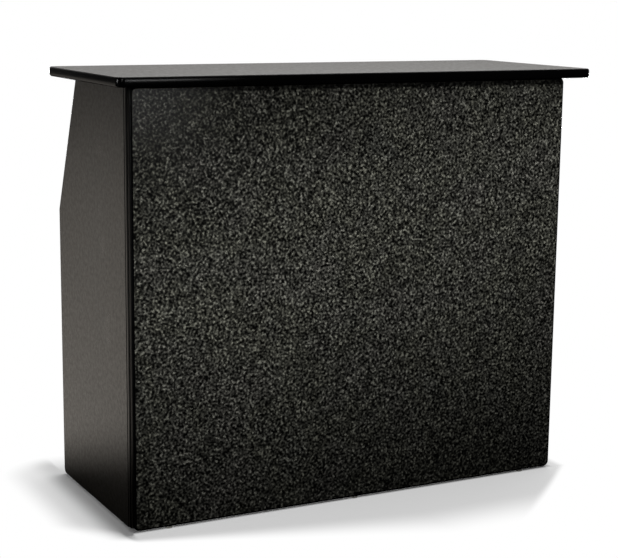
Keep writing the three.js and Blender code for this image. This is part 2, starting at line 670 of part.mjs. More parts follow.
// Counter that lifts straight off. The group stands on the board tops.
function counter() {
  const group = new THREE.Group();
  group.position.z = COUNTER_UNDERSIDE;
  const halfWidth = HALF_WIDTH + COUNTER_SIDE_OVERHANG;
  const corners = rectangle(
    -halfWidth,
    halfWidth,
    -COUNTER_FRONT_OVERHANG,
    COUNTER_DEPTH - COUNTER_FRONT_OVERHANG,
    COUNTER_CORNER_RADIUS,
  );
  const board = laminatedBoard(corners, COUNTER_BOARD, ROUNDED);
  const bore = holeRadius(PIN_RADIUS, SEAT, ROUND_SIDES);
  for (const { name, sign } of HANDS) {
    const hole = barAlongZ(bore, sign * PIN_X, BOARD / 2, -CUT_MARGIN, PIN_ROOT + SEAT);
    board.core = board.core.subtract(hole);
    board.lowSheet = board.lowSheet.subtract(hole);
    const pin = turned([
      [0, -PIN_REACH],
      [PIN_RADIUS - PIN_TIP / 2, -PIN_REACH],
      [PIN_RADIUS, PIN_TIP - PIN_REACH],
      [PIN_RADIUS, PIN_ROOT],
      [0, PIN_ROOT],
    ]);
    const mesh = piece(`${name}_counter_pin`, pin, 'steel');
    mesh.rotation.x = UPRIGHT;
    mesh.position.set(sign * PIN_X, BOARD / 2, 0);
    group.add(mesh);
  }
  group.add(piece('counter_core', board.core, 'board'));
  group.add(piece('counter_facing', board.highSheet, 'charcoal'));
  group.add(piece('counter_lining', board.lowSheet, 'lining'));
  group.add(piece('counter_edging', board.edging, 'edging'));
  return group;
}

const bar = new THREE.Group();
bar.position.y = -FOOTPRINT_MIDDLE_Y;
bar.add(frontBoard());
HANDS.forEach((hand) => bar.add(stile(hand), foldBlock(hand), side(hand)));
SHELVES.forEach((entry) => bar.add(shelfHinge(entry), shelf(entry)));
bar.add(counter());

export default bar;
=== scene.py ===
"""Folding portable bar: finishes, fine trim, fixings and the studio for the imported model.

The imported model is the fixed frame. Boards keep their solids and get finishes here. The moulded edging, the
continuous hinges, the fixings and the turned pieces are drawn again with finer shapes in the same places.
Metres, +Z up, guests stand on the -Y side, and the origin is on the floor at the middle of the footprint.
"""

from __future__ import annotations

import json
import logging
import math
from dataclasses import dataclass
from enum import Enum
from functools import reduce
from typing import Any, Iterable, Optional, Sequence, Union

import bmesh
import bpy
from mathutils import Euler, Matrix, Vector

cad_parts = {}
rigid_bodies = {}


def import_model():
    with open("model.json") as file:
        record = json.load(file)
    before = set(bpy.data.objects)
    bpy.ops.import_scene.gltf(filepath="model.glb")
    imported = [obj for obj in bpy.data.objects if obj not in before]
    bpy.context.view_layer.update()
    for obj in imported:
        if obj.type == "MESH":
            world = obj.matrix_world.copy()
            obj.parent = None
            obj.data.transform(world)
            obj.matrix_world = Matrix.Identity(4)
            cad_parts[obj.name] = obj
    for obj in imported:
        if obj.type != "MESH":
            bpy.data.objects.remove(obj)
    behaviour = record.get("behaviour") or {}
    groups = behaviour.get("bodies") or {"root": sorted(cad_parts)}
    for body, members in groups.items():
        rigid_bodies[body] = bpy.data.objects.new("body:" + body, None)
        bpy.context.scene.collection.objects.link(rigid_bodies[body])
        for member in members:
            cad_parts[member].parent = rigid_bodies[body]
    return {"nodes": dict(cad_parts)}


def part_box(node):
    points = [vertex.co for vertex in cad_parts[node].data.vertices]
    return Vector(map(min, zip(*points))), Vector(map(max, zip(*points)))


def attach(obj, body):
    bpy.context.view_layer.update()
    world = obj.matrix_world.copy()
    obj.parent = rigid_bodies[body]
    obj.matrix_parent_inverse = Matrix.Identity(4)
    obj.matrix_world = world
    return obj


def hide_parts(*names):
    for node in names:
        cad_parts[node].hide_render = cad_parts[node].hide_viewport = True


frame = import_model()

log = logging.getLogger("bar")

MM = 0.001
QUARTER = math.pi / 2
IMAGE_WIDTH = 618
SENSOR_WIDTH = 36.0

Corner = tuple[float, float, float]
Place = tuple[float, float, float]
Colour = tuple[float, float, float]
Point = tuple[float, float]
Span = tuple[float, float]

WHITE: Colour = (1.0, 1.0, 1.0)
GLIDE_PROFILE: list[Point] = [
    (radius * MM, height * MM)
    for radius, height in ((0, 0), (6, 0), (7, 0.25), (7.7, 0.8), (8, 1.6), (8, 4.3), (7.7, 4.7), (0, 4.7))
]


class Hand(Enum):
    """Which end of the bar a piece stands at, as the guests see it."""

    LEFT = -1
    RIGHT = 1

    @property
    def word(self) -> str:
        """Name used in piece names."""
        return self.name.lower()


class Tier(Enum):
    """Which of the two shelves a piece belongs to."""

    UPPER = "upper"
    LOWER = "lower"


class Grain(Enum):
    """Axis that wood grain or brushing follows, as the stretch of its pattern."""

    X = (0.04, 1.0, 1.0)
    Y = (1.0, 0.04, 1.0)
    Z = (1.0, 1.0, 0.04)


class Section(Enum):
    """Section of a moulded strip: its thickness, the round of its outer corners and its crown."""

    BROAD = (5.5 * MM, 3.8 * MM, 1.5 * MM)
    FLAT = (2.5 * MM, 0.9 * MM, 0.3 * MM)
    COVER = (1.6 * MM, 0.5 * MM, 0.3 * MM)


class Lie(Enum):
    """How a hinge leaf lies: the directions of its own x, y and z, with z along the pin."""

    UPRIGHT = ((1, 0, 0), (0, 1, 0), (0, 0, 1))
    ON_FRONT = ((0, 1, 0), (0, 0, 1), (1, 0, 0))
    ON_SHELF = ((0, 0, 1), (0, -1, 0), (1, 0, 0))


class Facing(Enum):
    """Way that a small piece faces, as the turn of its own +Z."""

    UP = (0.0, 0.0, 0.0)
    FRONT = (QUARTER, 0.0, 0.0)
    REAR = (-QUARTER, 0.0, 0.0)
    LEFT = (0.0, -QUARTER, 0.0)
    RIGHT = (0.0, QUARTER, 0.0)

    @property
    def way(self) -> Vector:
        """Direction that the piece faces."""
        return Euler(self.value).to_matrix() @ Vector((0.0, 0.0, 1.0))


# Node graphs


class Value:
    """Number socket in a node tree that takes part in Python arithmetic."""

    def __init__(self, graph: Graph, socket: bpy.types.NodeSocket) -> None:
        """Keeps the tree that new nodes go to and the output that carries the number."""
        self.graph = graph
        self.socket = socket

    def also(self, name: str) -> Value:
        """Another output of the same node, by its name or identifier."""
        return Value(self.graph, self.graph.find(self.socket.node.outputs, name))

    def swing(self, amount: float) -> Value:
        """Number from zero to one made into a swing about zero."""
        return (self - 0.5) * amount

    def __add__(self, other: Operand) -> Value:
        """Sum."""
        return self.graph.maths("ADD", self, other)

    def __radd__(self, other: Operand) -> Value:
        """Sum with the number first."""
        return self.graph.maths("ADD", other, self)

    def __sub__(self, other: Operand) -> Value:
        """Difference."""
        return self.graph.maths("SUBTRACT", self, other)

    def __rsub__(self, other: Operand) -> Value:
        """Difference with the number first."""
        return self.graph.maths("SUBTRACT", other, self)

    def __mul__(self, other: Operand) -> Value:
        """Product."""
        return self.graph.maths("MULTIPLY", self, other)

    def __rmul__(self, other: Operand) -> Value:
        """Product with the number first."""
        return self.graph.maths("MULTIPLY", other, self)

    def __truediv__(self, other: Operand) -> Value:
        """Quotient."""
        return self.graph.maths("DIVIDE", self, other)

    def __rtruediv__(self, other: Operand) -> Value:
        """Quotient with the number first."""
        return self.graph.maths("DIVIDE", other, self)

    def __gt__(self, other: Operand) -> Value:
        """One where this is the larger, else zero."""
        return self.graph.maths("GREATER_THAN", self, other)


Operand = Union[Value, float]


class Graph:
    """Adds nodes to a tree and wires them up."""

    def __init__(self, tree: bpy.types.NodeTree) -> None:
        """Keeps the shader or geometry tree to fill."""
        self.tree = tree

    @staticmethod
    def find(sockets: Iterable[bpy.types.NodeSocket], key: Union[str, int]) -> bpy.types.NodeSocket:
        """Looks a socket up by number, identifier or shown name.

        Args:
            sockets: Inputs or outputs of one node.
            key: Number, identifier or name.

        Returns:
            The socket.
        """
        known = list(sockets)
        if isinstance(key, int):
            return known[key]
        for socket in known:
            if socket.identifier == key:
                return socket
        return next(socket for socket in known if socket.name == key and socket.enabled)

    def feed(self, socket: bpy.types.NodeSocket, value: Any) -> None:
        """Links a value into a socket, or sets the socket to a plain number or colour.

        Args:
            socket: Input to feed.
            value: Wrapped socket, list of them for a joining input, or plain value.
        """
        if isinstance(value, list):
            for entry in value:
                self.feed(socket, entry)
        elif isinstance(value, Value):
            self.tree.links.new(value.socket, socket)
        elif isinstance(value, tuple) and len(socket.default_value) == len(value) + 1:
            socket.default_value = (*value, 1.0)
        else:
            socket.default_value = value

    def add(
        self,
        kind: str,
        settings: Optional[dict[str, Any]] = None,
        inputs: Optional[dict[Union[str, int], Any]] = None,
        out: Union[str, int] = 0,
    ) -> Value:
        """Adds one node, sets it up and feeds its inputs.

        Args:
            kind: Node type.
            settings: Node properties, set first. A stops entry fills a colour ramp.
            inputs: Values or links by socket.
            out: Output to hand back.

        Returns:
            That output.
        """
        node = self.tree.nodes.new(kind)
        for name, setting in (settings or {}).items():
            if name == "stops":
                self.fill_ramp(node.color_ramp, setting)
            else:
                setattr(node, name, setting)
        for key, value in (inputs or {}).items():
            self.feed(self.find(node.inputs, key), value)
        if not len(node.outputs):
            return Value(self, node.inputs[0])
        return Value(self, self.find(node.outputs, out))

    @staticmethod
    def fill_ramp(ramp: bpy.types.ColorRamp, stops: Sequence[tuple[float, Colour]]) -> None:
        """Replaces a ramp's stops.

        Args:
            ramp: Ramp of a new node, which has two stops.
            stops: Places and colours in rising order.
        """
        while len(ramp.elements) < len(stops):
            ramp.elements.new(1.0)
        for element, (place, colour) in zip(ramp.elements, stops):
            element.position = place
            element.color = (*colour, 1.0)

    def maths(self, operation: str, *operands: Operand) -> Value:
        """Result of a Math node."""
        return self.add("ShaderNodeMath", {"operation": operation}, dict(enumerate(operands)))

    def largest(self, *operands: Operand) -> Value:
        """Largest of several numbers."""
        return reduce(lambda first, second: self.maths("MAXIMUM", first, second), operands)

    def smooth(self, value: Operand, low: float, high: float) -> Value:
        """Soft step from zero at low to one at high."""
        inputs = {"Value": value, "From Min": low, "From Max": high}
        return self.add("ShaderNodeMapRange", {"interpolation_type": "SMOOTHSTEP"}, inputs)

    def vector(self, operation: str, first: Any, second: Any) -> Value:
        """Result of a Vector Math node on two vectors, or on a vector and the number that scales it."""
        key = "Scale" if operation == "SCALE" else 1
        return self.add("ShaderNodeVectorMath", {"operation": operation}, {0: first, key: second})

    def point(self, x: Operand, y: Operand, z: Operand = 0.0) -> Value:
        """Vector from three numbers."""
        return self.add("ShaderNodeCombineXYZ", inputs={"X": x, "Y": y, "Z": z})

    def split(self, vector: Value) -> tuple[Value, Value, Value]:
        """The three numbers of a vector."""
        x = self.add("ShaderNodeSeparateXYZ", inputs={"Vector": vector})
        return x, x.also("Y"), x.also("Z")

    def blend(self, factor: Operand, first: Any, second: Any, how: str = "MIX") -> Value:
        """Mixes two colours.

        Args:
            factor: Share of the second colour.
            first: Colour at zero.
            second: Colour at one.
            how: Blend type.

        Returns:
            The mixed colour.
        """
        settings = {"data_type": "RGBA", "blend_type": how}
        inputs = {"Factor_Float": factor, "A_Color": first, "B_Color": second}
        return self.add("ShaderNodeMix", settings, inputs, "Result_Color")

    def ramp(self, value: Value, stops: Sequence[tuple[float, Colour]]) -> Value:
        """Colour from a ramp."""
        return self.add("ShaderNodeValToRGB", {"stops": stops}, {"Fac": value}, "Color")

    def mix(self, factor: Operand, first: Value, second: Value) -> Value:
        """Mix of two shaders."""
        return self.add("ShaderNodeMixShader", inputs={0: factor, 1: first, 2: second})


# Finishes


def tinted(colour: Colour, shares: Colour) -> Colour:
    """Colour with each of its channels scaled."""
    return tuple(channel * share for channel, share in zip(colour, shares))


def lighter(colour: Colour, times: float) -> Colour:
    """Colour scaled as a whole, at most white."""
    return tuple(min(1.0, channel * times) for channel in colour)


@dataclass(frozen=True)
class Noise:
    """Noise pattern: size of its blotches in millimetres, count and strength of its finer layers.

    A span turns it into patches with soft edges.
    """

    size: float
    detail: float = 3.0
    rough: float = 0.55
    span: Optional[Span] = None


class Brush(Graph):
    """Graph of a material, with object coordinates in millimetres as its place."""

    def __init__(self, tree: bpy.types.NodeTree) -> None:
        """Keeps the tree and adds the coordinates."""
        super().__init__(tree)
        self.place = self.vector("SCALE", self.add("ShaderNodeTexCoord", out="Object"), 1 / MM)

    def noise(self, pattern: Noise, place: Optional[Value] = None, out: Union[str, int] = 0) -> Value:
        """Draws a noise pattern.

        Args:
            pattern: The pattern.
            place: Coordinates in millimetres, where they aren't the plain ones.
            out: Output of the noise to hand back.

        Returns:
            Noise or patches, from zero to one.
        """
        inputs = {
            "Vector": self.place if place is None else place,
            "Scale": 1 / pattern.size,
            "Detail": pattern.detail,
            "Roughness": pattern.rough,
        }
        noise = self.add("ShaderNodeTexNoise", None, inputs, out)
        return self.smooth(noise, *pattern.span) if pattern.span else noise

    def stretched(self, shares: Place) -> Value:
        """Coordinates with each axis scaled."""
        return self.vector("MULTIPLY", self.place, shares)

    def bump(self, height: Value, relief: Span) -> Value:
        """Normal from a height, by its depth in millimetres and the share of it that shows."""
        inputs = {"Height": height, "Distance": relief[0] * MM, "Strength": relief[1]}
        return self.add("ShaderNodeBump", inputs=inputs)


@dataclass(frozen=True)
class Finish:
    """Surface of one kind of piece. Subclasses paint it."""

    name: str
    slot: str
    roughness: float = 0.5
    relief: Span = (0.05, 0.5)

    def material(self) -> bpy.types.Material:
        """Builds the material once and hands back the same one later.

        Returns:
            The material.
        """
        known = bpy.data.materials.get(self.name)
        if known is not None:
            return known
        made = bpy.data.materials.new(self.name)
        made.use_nodes = True
        brush = Brush(made.node_tree)
        shader = next(node for node in made.node_tree.nodes if node.type == "BSDF_PRINCIPLED")
        shader.inputs["Roughness"].default_value = self.roughness
        for socket, value in self.paint(brush).items():
            brush.feed(shader.inputs[socket], value)
        return made

    def paint(self, brush: Brush) -> dict[str, Any]:
        """Works out what feeds the shader.

        Args:
            brush: Graph of the material.

        Returns:
            Values or links by shader socket.
        """
        raise NotImplementedError


@dataclass(frozen=True)
class StoneLaminate(Finish):
    """High-pressure laminate with a black stone print: crowded grey flecks on near black."""

    drift: Noise = Noise(1 / 0.35, 2.0, 0.5)
    warp: float = 3.0
    lie: Place = (0.7, 0.5, 0.9)
    mottle: Noise = Noise(5.9, 0.0)
    mottle_contrast: float = 1.8
    fleck: float = 5.4
    fleck_contrast: float = 0.32
    bright: Span = (0.975, 0.99)
    bright_lift: float = 0.4
    fine_fleck: float = 2.2
    speckle: Span = (0.55, 0.9)
    clouds: Noise = Noise(130.0)
    grain: Noise = Noise(1.1, 2.0)
    haze: Noise = Noise(240.0, 2.0)
    gloss_swing: float = 0.10
    greys: tuple[Point, ...] = (
        (0.0, 0.0006), (0.20, 0.0066), (0.35, 0.0165), (0.50, 0.032),
        (0.65, 0.054), (0.80, 0.086), (0.95, 0.13), (1.0, 0.20),
    )
    tints: tuple[tuple[float, Colour], ...] = (
        (0.30, (1.03, 1.0, 0.88)), (0.46, (1.0, 1.0, 0.85)),
        (0.56, (1.0, 1.0, 0.81)), (0.72, (0.97, 0.98, 0.85)),
    )

    @staticmethod
    def chance(brush: Brush, place: Value, size: float) -> Value:
        """Random number for each cell of one fleck size.

        Args:
            brush: Graph of the material.
            place: Flat coordinates in millimetres.
            size: Fleck size in millimetres.

        Returns:
            Number from zero to one.
        """
        settings = {"feature": "F1", "voronoi_dimensions": "2D"}
        inputs = {"Vector": place, "Scale": 1 / size, "Randomness": 1.0}
        cell = brush.add("ShaderNodeTexVoronoi", settings, inputs, "Color")
        return brush.add("ShaderNodeSeparateColor", inputs={"Color": cell}, out="Red")

    def paint(self, brush: Brush) -> dict[str, Any]:
        """Prints the flecks, tints them and adds the pressed texture.

        Args:
            brush: Graph of the material.

        Returns:
            Values or links by shader socket.
        """
        drift = brush.vector("SUBTRACT", brush.noise(self.drift, out="Color"), (0.5, 0.5, 0.5))
        warped = brush.vector("ADD", brush.place, brush.vector("SCALE", drift, self.warp))
        x, y, z = brush.split(warped)
        flat = brush.point(x, y + z)
        turn = {"Vector": warped, "Rotation": self.lie}
        turned = brush.add("ShaderNodeVectorRotate", {"rotation_type": "EULER_XYZ"}, turn)
        cell = self.chance(brush, flat, self.fleck)
        shade = 0.5 + brush.noise(self.mottle, turned).swing(self.mottle_contrast)
        shade = shade + cell.swing(self.fleck_contrast) + brush.smooth(cell, *self.bright) * self.bright_lift
        flecks = brush.ramp(shade, [(at, (grey,) * 3) for at, grey in self.greys])
        least, more = self.speckle
        speckled = brush.vector("SCALE", flecks, least + self.chance(brush, flat, self.fine_fleck) * more)
        tint = brush.ramp(brush.noise(self.clouds), self.tints)
        grain, haze = brush.noise(self.grain), brush.noise(self.haze)
        return {
            "Base Color": brush.blend(1.0, speckled, tint, "MULTIPLY"),
            "Roughness": self.roughness + grain.swing(self.gloss_swing) + haze.swing(self.gloss_swing),
            "Normal": brush.bump(grain, self.relief),
        }


@dataclass(frozen=True)
class PlainLaminate(Finish):
    """Plain-coloured satin laminate with a fine print grain and faint handling marks."""

    relief: Span = (0.05, 0.6)
    colour: Colour = (0.03, 0.028, 0.025)
    mottling: float = 0.22
    sheen: float = 0.0
    sheen_trade: float = 0.3
    specular: float = 0.5
    flecks: Noise = Noise(11.0, 3.0, 0.7, (0.30, 0.70))
    rubbing: float = 0.06
    rubs: Noise = Noise(90.0, 5.0, 0.7, (0.56, 0.72))
    grain: Noise = Noise(1.4, 3.0, 0.65)
    clouds: Noise = Noise(55.0, 4.0)
    warm_clouds: Noise = Noise(160.0, 2.0)
    warm_shift: Place = (310.0, 90.0, 40.0)
    warmth: Colour = (1.08, 1.0, 0.92)
    gloss_swing: float = 0.12

    def paint(self, brush: Brush) -> dict[str, Any]:
        """Prints the grain and the faint clouding, and lays the sheen over them.

        Args:
            brush: Graph of the material.

        Returns:
            Values or links by shader socket.
        """
        grain, clouds = brush.noise(self.grain), brush.noise(self.clouds)
        warm = brush.noise(self.warm_clouds, brush.vector("ADD", brush.place, self.warm_shift))
        level = 1.0 + grain.swing(self.mottling * 2) + clouds.swing(self.mottling)
        base = brush.blend(warm, self.colour, tinted(self.colour, self.warmth))
        rubbed = brush.noise(self.rubs) * self.rubbing
        return {
            "Base Color": brush.vector("SCALE", base, level),
            "Specular IOR Level": self.specular - self.sheen_trade * self.sheen,
            "Coat Weight": brush.noise(self.flecks) * self.sheen,
            "Coat Roughness": self.roughness,
            "Roughness": self.roughness + grain.swing(self.gloss_swing) - rubbed,
            "Normal": brush.bump(grain, self.relief),
        }


@dataclass(frozen=True)
class MouldedEdging(Finish):
    """Black moulded strip with a slight ripple and faint scuffs."""

    relief: Span = (0.03, 0.5)
    colour: Colour = (0.0012, 0.0012, 0.0013)
    gloss: float = 0.05
    ripple: Noise = Noise(9.0, 2.0)
    ripple_swing: float = 0.05
    scuffs: Noise = Noise(3.0, 6.0, 0.75, (0.60, 0.78))
    scuff_light: float = 3.2
    scuff_dulling: float = 0.16

    def paint(self, brush: Brush) -> dict[str, Any]:
        """Adds the ripple and the scuffs.

        Args:
            brush: Graph of the material.

        Returns:
            Values or links by shader socket.
        """
        ripple, scuffs = brush.noise(self.ripple), brush.noise(self.scuffs)
        return {
            "Base Color": brush.blend(scuffs, self.colour, lighter(self.colour, self.scuff_light)),
            "Specular IOR Level": self.gloss,
            "Roughness": self.roughness + scuffs * self.scuff_dulling + ripple.swing(self.ripple_swing),
            "Normal": brush.bump(ripple, self.relief),
        }


@dataclass(frozen=True)
class StainedWood(Finish):
    """Black-stained hardwood with open grain."""

    relief: Span = (0.15, 0.6)
    grain: Grain = Grain.Z
    colour: Colour = (0.011, 0.0095, 0.008)
    figure: Noise = Noise(3.2, 5.0, 0.6)
    figure_light: float = 2.6
    figure_dulling: float = 0.12
    pores: Noise = Noise(0.55, 2.0, span=(0.60, 0.72))
    pore_colour: Colour = (0.002, 0.002, 0.002)
    pore_share: float = 0.7
    pore_depth: float = 0.8
    pore_dulling: float = 0.15

    def paint(self, brush: Brush) -> dict[str, Any]:
        """Draws the grain along one axis.

        Args:
            brush: Graph of the material.

        Returns:
            Values or links by shader socket.
        """
        along = brush.stretched(self.grain.value)
        figure, pores = brush.noise(self.figure, along), brush.noise(self.pores, along)
        wood = brush.blend(figure, self.colour, lighter(self.colour, self.figure_light))
        return {
            "Base Color": brush.blend(pores * self.pore_share, wood, self.pore_colour),
            "Roughness": self.roughness + figure * self.figure_dulling + pores * self.pore_dulling,
            "Normal": brush.bump(figure - pores * self.pore_depth, self.relief),
        }


@dataclass(frozen=True)
class Plywood(Finish):
    """Birch plywood core with pale veneers."""

    relief: Span = (0.1, 0.6)
    dark: Colour = (0.44, 0.29, 0.155)
    pale: Colour = (0.62, 0.45, 0.27)
    glue: Colour = (0.33, 0.2, 0.1)
    fibre: Noise = Noise(1.6, 4.0)
    fibre_stretch: Place = (0.08, 1.0, 0.3)
    fibre_swing: float = 0.15
    seams: Noise = Noise(1.7, 1.0, span=(0.5, 0.62))
    seam_stretch: Place = (0.02, 0.6, 0.6)

    def paint(self, brush: Brush) -> dict[str, Any]:
        """Draws veneers with a fine fibre.

        Args:
            brush: Graph of the material.

        Returns:
            Values or links by shader socket.
        """
        fibre = brush.noise(self.fibre, brush.stretched(self.fibre_stretch))
        seams = brush.noise(self.seams, brush.stretched(self.seam_stretch))
        return {
            "Base Color": brush.blend(seams, brush.blend(fibre, self.dark, self.pale), self.glue),
            "Roughness": self.roughness + fibre.swing(self.fibre_swing),
            "Normal": brush.bump(fibre, self.relief),
        }


@dataclass(frozen=True)
class PlatedSteel(Finish):
    """Plated steel with drawn lines, a little colour drift and dull spots."""

    relief: Span = (0.02, 0.4)
    colour: Colour = (0.56, 0.56, 0.55)
    grain: Grain = Grain.Z
    lines: Noise = Noise(0.7)
    line_swing: float = 0.16
    drift: Noise = Noise(28.0)
    drift_tint: Colour = (0.93, 0.98, 1.05)
    spots: Noise = Noise(2.4, 5.0, 0.7, (0.60, 0.74))
    spot_colour: Colour = (0.24, 0.23, 0.215)
    spot_share: float = 0.45
    spot_dulling: float = 0.2

    def paint(self, brush: Brush) -> dict[str, Any]:
        """Draws the lines, the drift and the dull spots.

        Args:
            brush: Graph of the material.

        Returns:
            Values or links by shader socket.
        """
        lines = brush.noise(self.lines, brush.stretched(self.grain.value))
        spots = brush.noise(self.spots)
        plate = brush.blend(brush.noise(self.drift), self.colour, tinted(self.colour, self.drift_tint))
        return {
            "Base Color": brush.blend(spots * self.spot_share, plate, self.spot_colour),
            "Roughness": self.roughness + lines.swing(self.line_swing) + spots * self.spot_dulling,
            "Metallic": 1.0,
            "Normal": brush.bump(lines, self.relief),
        }


@dataclass(frozen=True)
class MouldedPlastic(Finish):
    """Moulded plastic with a fine spark-eroded texture."""

    colour: Colour = (0.012, 0.012, 0.012)
    texture: Noise = Noise(0.5, 2.0)
    texture_swing: float = 0.15
    rubs: Noise = Noise(7.0, 4.0)
    rub_light: float = 1.25
    rub_swing: float = 0.1

    def paint(self, brush: Brush) -> dict[str, Any]:
        """Adds the texture and a little rubbing.

        Args:
            brush: Graph of the material.

        Returns:
            Values or links by shader socket.
        """
        texture, rubs = brush.noise(self.texture), brush.noise(self.rubs)
        return {
            "Base Color": brush.blend(rubs, self.colour, lighter(self.colour, self.rub_light)),
            "Roughness": self.roughness + texture.swing(self.texture_swing) - rubs.swing(self.rub_swing),
            "Normal": brush.bump(texture, self.relief),
        }


class Finishes:
    """The finishes that the bar uses."""

    STONE = StoneLaminate("stone_laminate", "granite_laminate", 0.30)
    CHARCOAL = PlainLaminate(
        "side_laminate", "charcoal_laminate", 0.32, colour=(0.026, 0.0245, 0.022), sheen=0.5,
    )
    COUNTER = PlainLaminate(
        "counter_laminate", "charcoal_laminate", 0.54, sheen=0.5, rubbing=0.12,
        flecks=Noise(13.0, 3.0, 0.7, (0.30, 0.70)), rubs=Noise(34.0, 5.0, 0.7, (0.56, 0.72)),
    )
    LINING = PlainLaminate(
        "inner_laminate", "lining_laminate", 0.52, (0.08, 0.6), colour=(0.040, 0.039, 0.037), mottling=0.28,
    )
    SHELF = PlainLaminate(
        "shelf_melamine", "shelf_board", 0.46, (0.10, 0.6), colour=(0.095, 0.092, 0.086), mottling=0.30,
    )
    STILE = PlainLaminate("stile_laminate", "stained_wood", 0.32, colour=(0.026, 0.0245, 0.022))
    EDGING = MouldedEdging("moulded_edging", "edging", 0.34)
    COUNTER_EDGING = MouldedEdging("counter_moulding", "edging", 0.22, gloss=0.1)
    CLEAT = StainedWood("stained_cleat", "stained_wood", 0.42, grain=Grain.Y)
    CORE = Plywood("plywood_core", "board", 0.75)
    HINGE = PlatedSteel("hinge_steel", "steel", 0.30)
    SHELF_HINGE = PlatedSteel("shelf_hinge_steel", "steel", 0.30, grain=Grain.X)
    SCREW = PlatedSteel("screw_steel", "steel", 0.26, colour=(0.60, 0.59, 0.56), grain=Grain.Y)
    MAGNET = PlatedSteel("magnet_nickel", "magnet", 0.36, colour=(0.62, 0.59, 0.54), grain=Grain.Y)
    CATCH = MouldedPlastic("catch_plastic", "black_plastic", 0.48)
    GLIDE = MouldedPlastic("glide_nylon", "nylon", 0.45, (0.03, 0.5), colour=(0.62, 0.60, 0.55))


# Shapes


